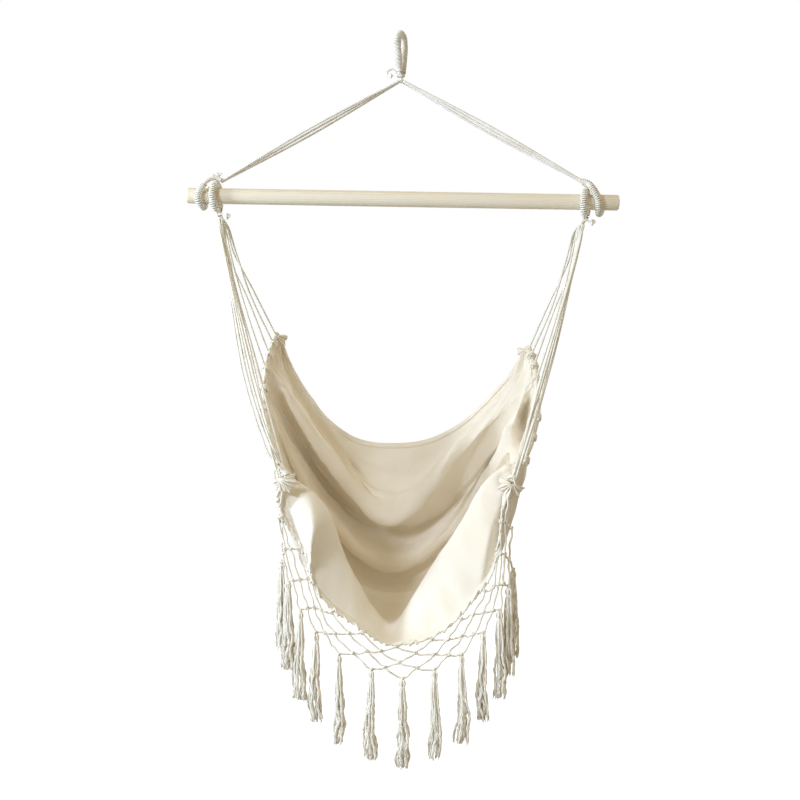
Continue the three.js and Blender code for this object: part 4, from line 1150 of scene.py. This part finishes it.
def corner_line(end, rope, i):
    """One of the cords that end at the front corner, each a little in front of the one before."""
    share, bows = corner_cords[end.side][i]
    start = cord_start(end, 2 * i + 3, cord_count) + np.array([end.side * 2, -3, 0])
    stop = at(rope, [share])[0] + np.array([-end.side * 2, -6, 4 * i])
    cord_piece(f"{end.name}_corner_line_{i + 1}", bowed(end, start, stop, bows, 2 * i * clew_cord_bow))


def net_line(end):
    """The cord from the neck to the upper corner of the net."""
    start = cord_start(end, cord_count - 1, cord_count)
    knot = knot_place(0, 0 if end.side < 0 else tassel_count - 1)
    stop = knot - unit(knot - start) * (net_cord * 1.5 + clew_cord)
    stop[0] += end.side * (net_cord + clew_cord)
    points = bowed(end, start, stop, [(0.5, net_cord_bow)])
    cord_piece(f"{end.name}_net_line", points, f"{end.name}_net_cord")


for end in bar_ends:
    rope = edge_ropes[end.side]
    hitches = [part for i, share in enumerate(clew_cord_shares[1:]) for part in hitch(rope, share, 70 + i)]
    skin(f"{end.name}_hitches", hitches, cord_cotton, "sling", [])
    for i in range(len(clew_cord_shares)):
        clew_line(end, rope, i)
    for i in range(len(corner_cords[end.side])):
        corner_line(end, rope, i)
    net_line(end)


# A slack loop of spare cord beside the left front corner
corner = at(edge_ropes[-1], [0.93])[0]
drooping = [(0, 0, 14), (-9, -6, 4), (-15, -8, -12), (-11, -9, -30), (-3, -9, -34), (-2, -8, -18),
            (-6, -6, -4), (2, -3, 8)]
spare = laid_rope([corner + np.array(step) for step in drooping], clew_cord, short_cord_lay)[1]
skin("left_spare_loop", [spare], cord_cotton, "sling", [])


# Tassels
def tassel(top, seed, bulb, ragged, lean):
    """A bound head of yarn over a skirt of loose, wavy strands, in clumps."""
    clumps, clump_strands, clump_radius, head = 11, 5, 1.7, 20
    rng = np.random.default_rng(seed)
    depths = np.array([0, 3, 6, 12, 16, 19, 26, 50, 90, 160, tassel_length])
    reach = np.array([2.0, 5.2, 7.0, 7.0, 4.6, 4.4, 6.6, 8.6, 9.6, bulb - 0.5, bulb - 2])
    flare = rng.uniform(0.92, 1.12)
    down = np.linspace(0, 1, 34)
    thin = 1.25 * np.interp(down, [0, 0.97, 1], [1, 1, 0.5])
    bundles = []
    for clump in range(clumps):
        angle = clump * 2.4 + rng.uniform(0, 0.4)
        share = math.sqrt((clump + 0.3) / clumps)
        sway = rng.uniform(2.0, 4.0)
        long_wave, phase = rng.uniform(45, 80), rng.uniform(0, tau)
        for strand in range(clump_strands):
            length = tassel_length * rng.uniform(1 - ragged, 1.0)
            depth = down * length
            width = np.interp(depth, depths, reach) * share * flare
            loose = np.clip((depth - head) / 120, 0, 1)
            wave = np.sin(depth / long_wave * tau + phase) * sway * loose
            curl = rng.uniform(14, 26)
            small = np.clip((depth - head) / 60, 0, 1) * rng.uniform(0.5, 1.1)
            own = strand / clump_strands * tau + depth / 60
            apart = clump_radius * (0.35 + loose * 0.65)
            x = math.cos(angle) * width + wave * math.sin(phase) + np.cos(own) * apart
            y = math.sin(angle) * width + wave * math.cos(phase) + np.sin(own) * apart
            x = x + np.sin(depth / curl * tau + strand) * small
            y = y + np.cos(depth / curl * tau + strand * 2) * small
            x = x + lean * np.sin(depth / tassel_length * 4.6 - 1.1) * loose
            line = np.asarray(top) + np.stack([x, y, -depth - 3], 1)
            bundles.append(round_rings(line, thin, 5))
    neck = np.asarray(top) + np.array([0, 0, -3.0])
    bind = stacked_wraps(neck[2] - 14, neck[2] - 22, [5.4, 5.0, 5.4], 2.2)
    bind[..., :2] += neck[:2]
    bundles.append(bind)
    return bundles


# How wide, ragged and bent the tassels' skirts are, from left to right
tassel_shapes = [
    (13, 0.12, 0), (16, 0.06, 2), (17, 0.05, -3), (16, 0.06, -4), (14, 0.08, 3), (17, 0.06, -5),
    (14, 0.05, 3), (15, 0.06, 4), (19, 0.07, 6), (14, 0.1, -4), (15, 0.07, 3), (17, 0.05, -3),
    (14, 0.02, 2),
]
for number, shape in enumerate(tassel_shapes):
    name = f"tassel_{number + 1:02d}"
    strands = tassel(knot_place(net_rows, number), 40 + number, *shape)
    skin(f"yarn_{name}", strands, yarn_cotton, name, [name])
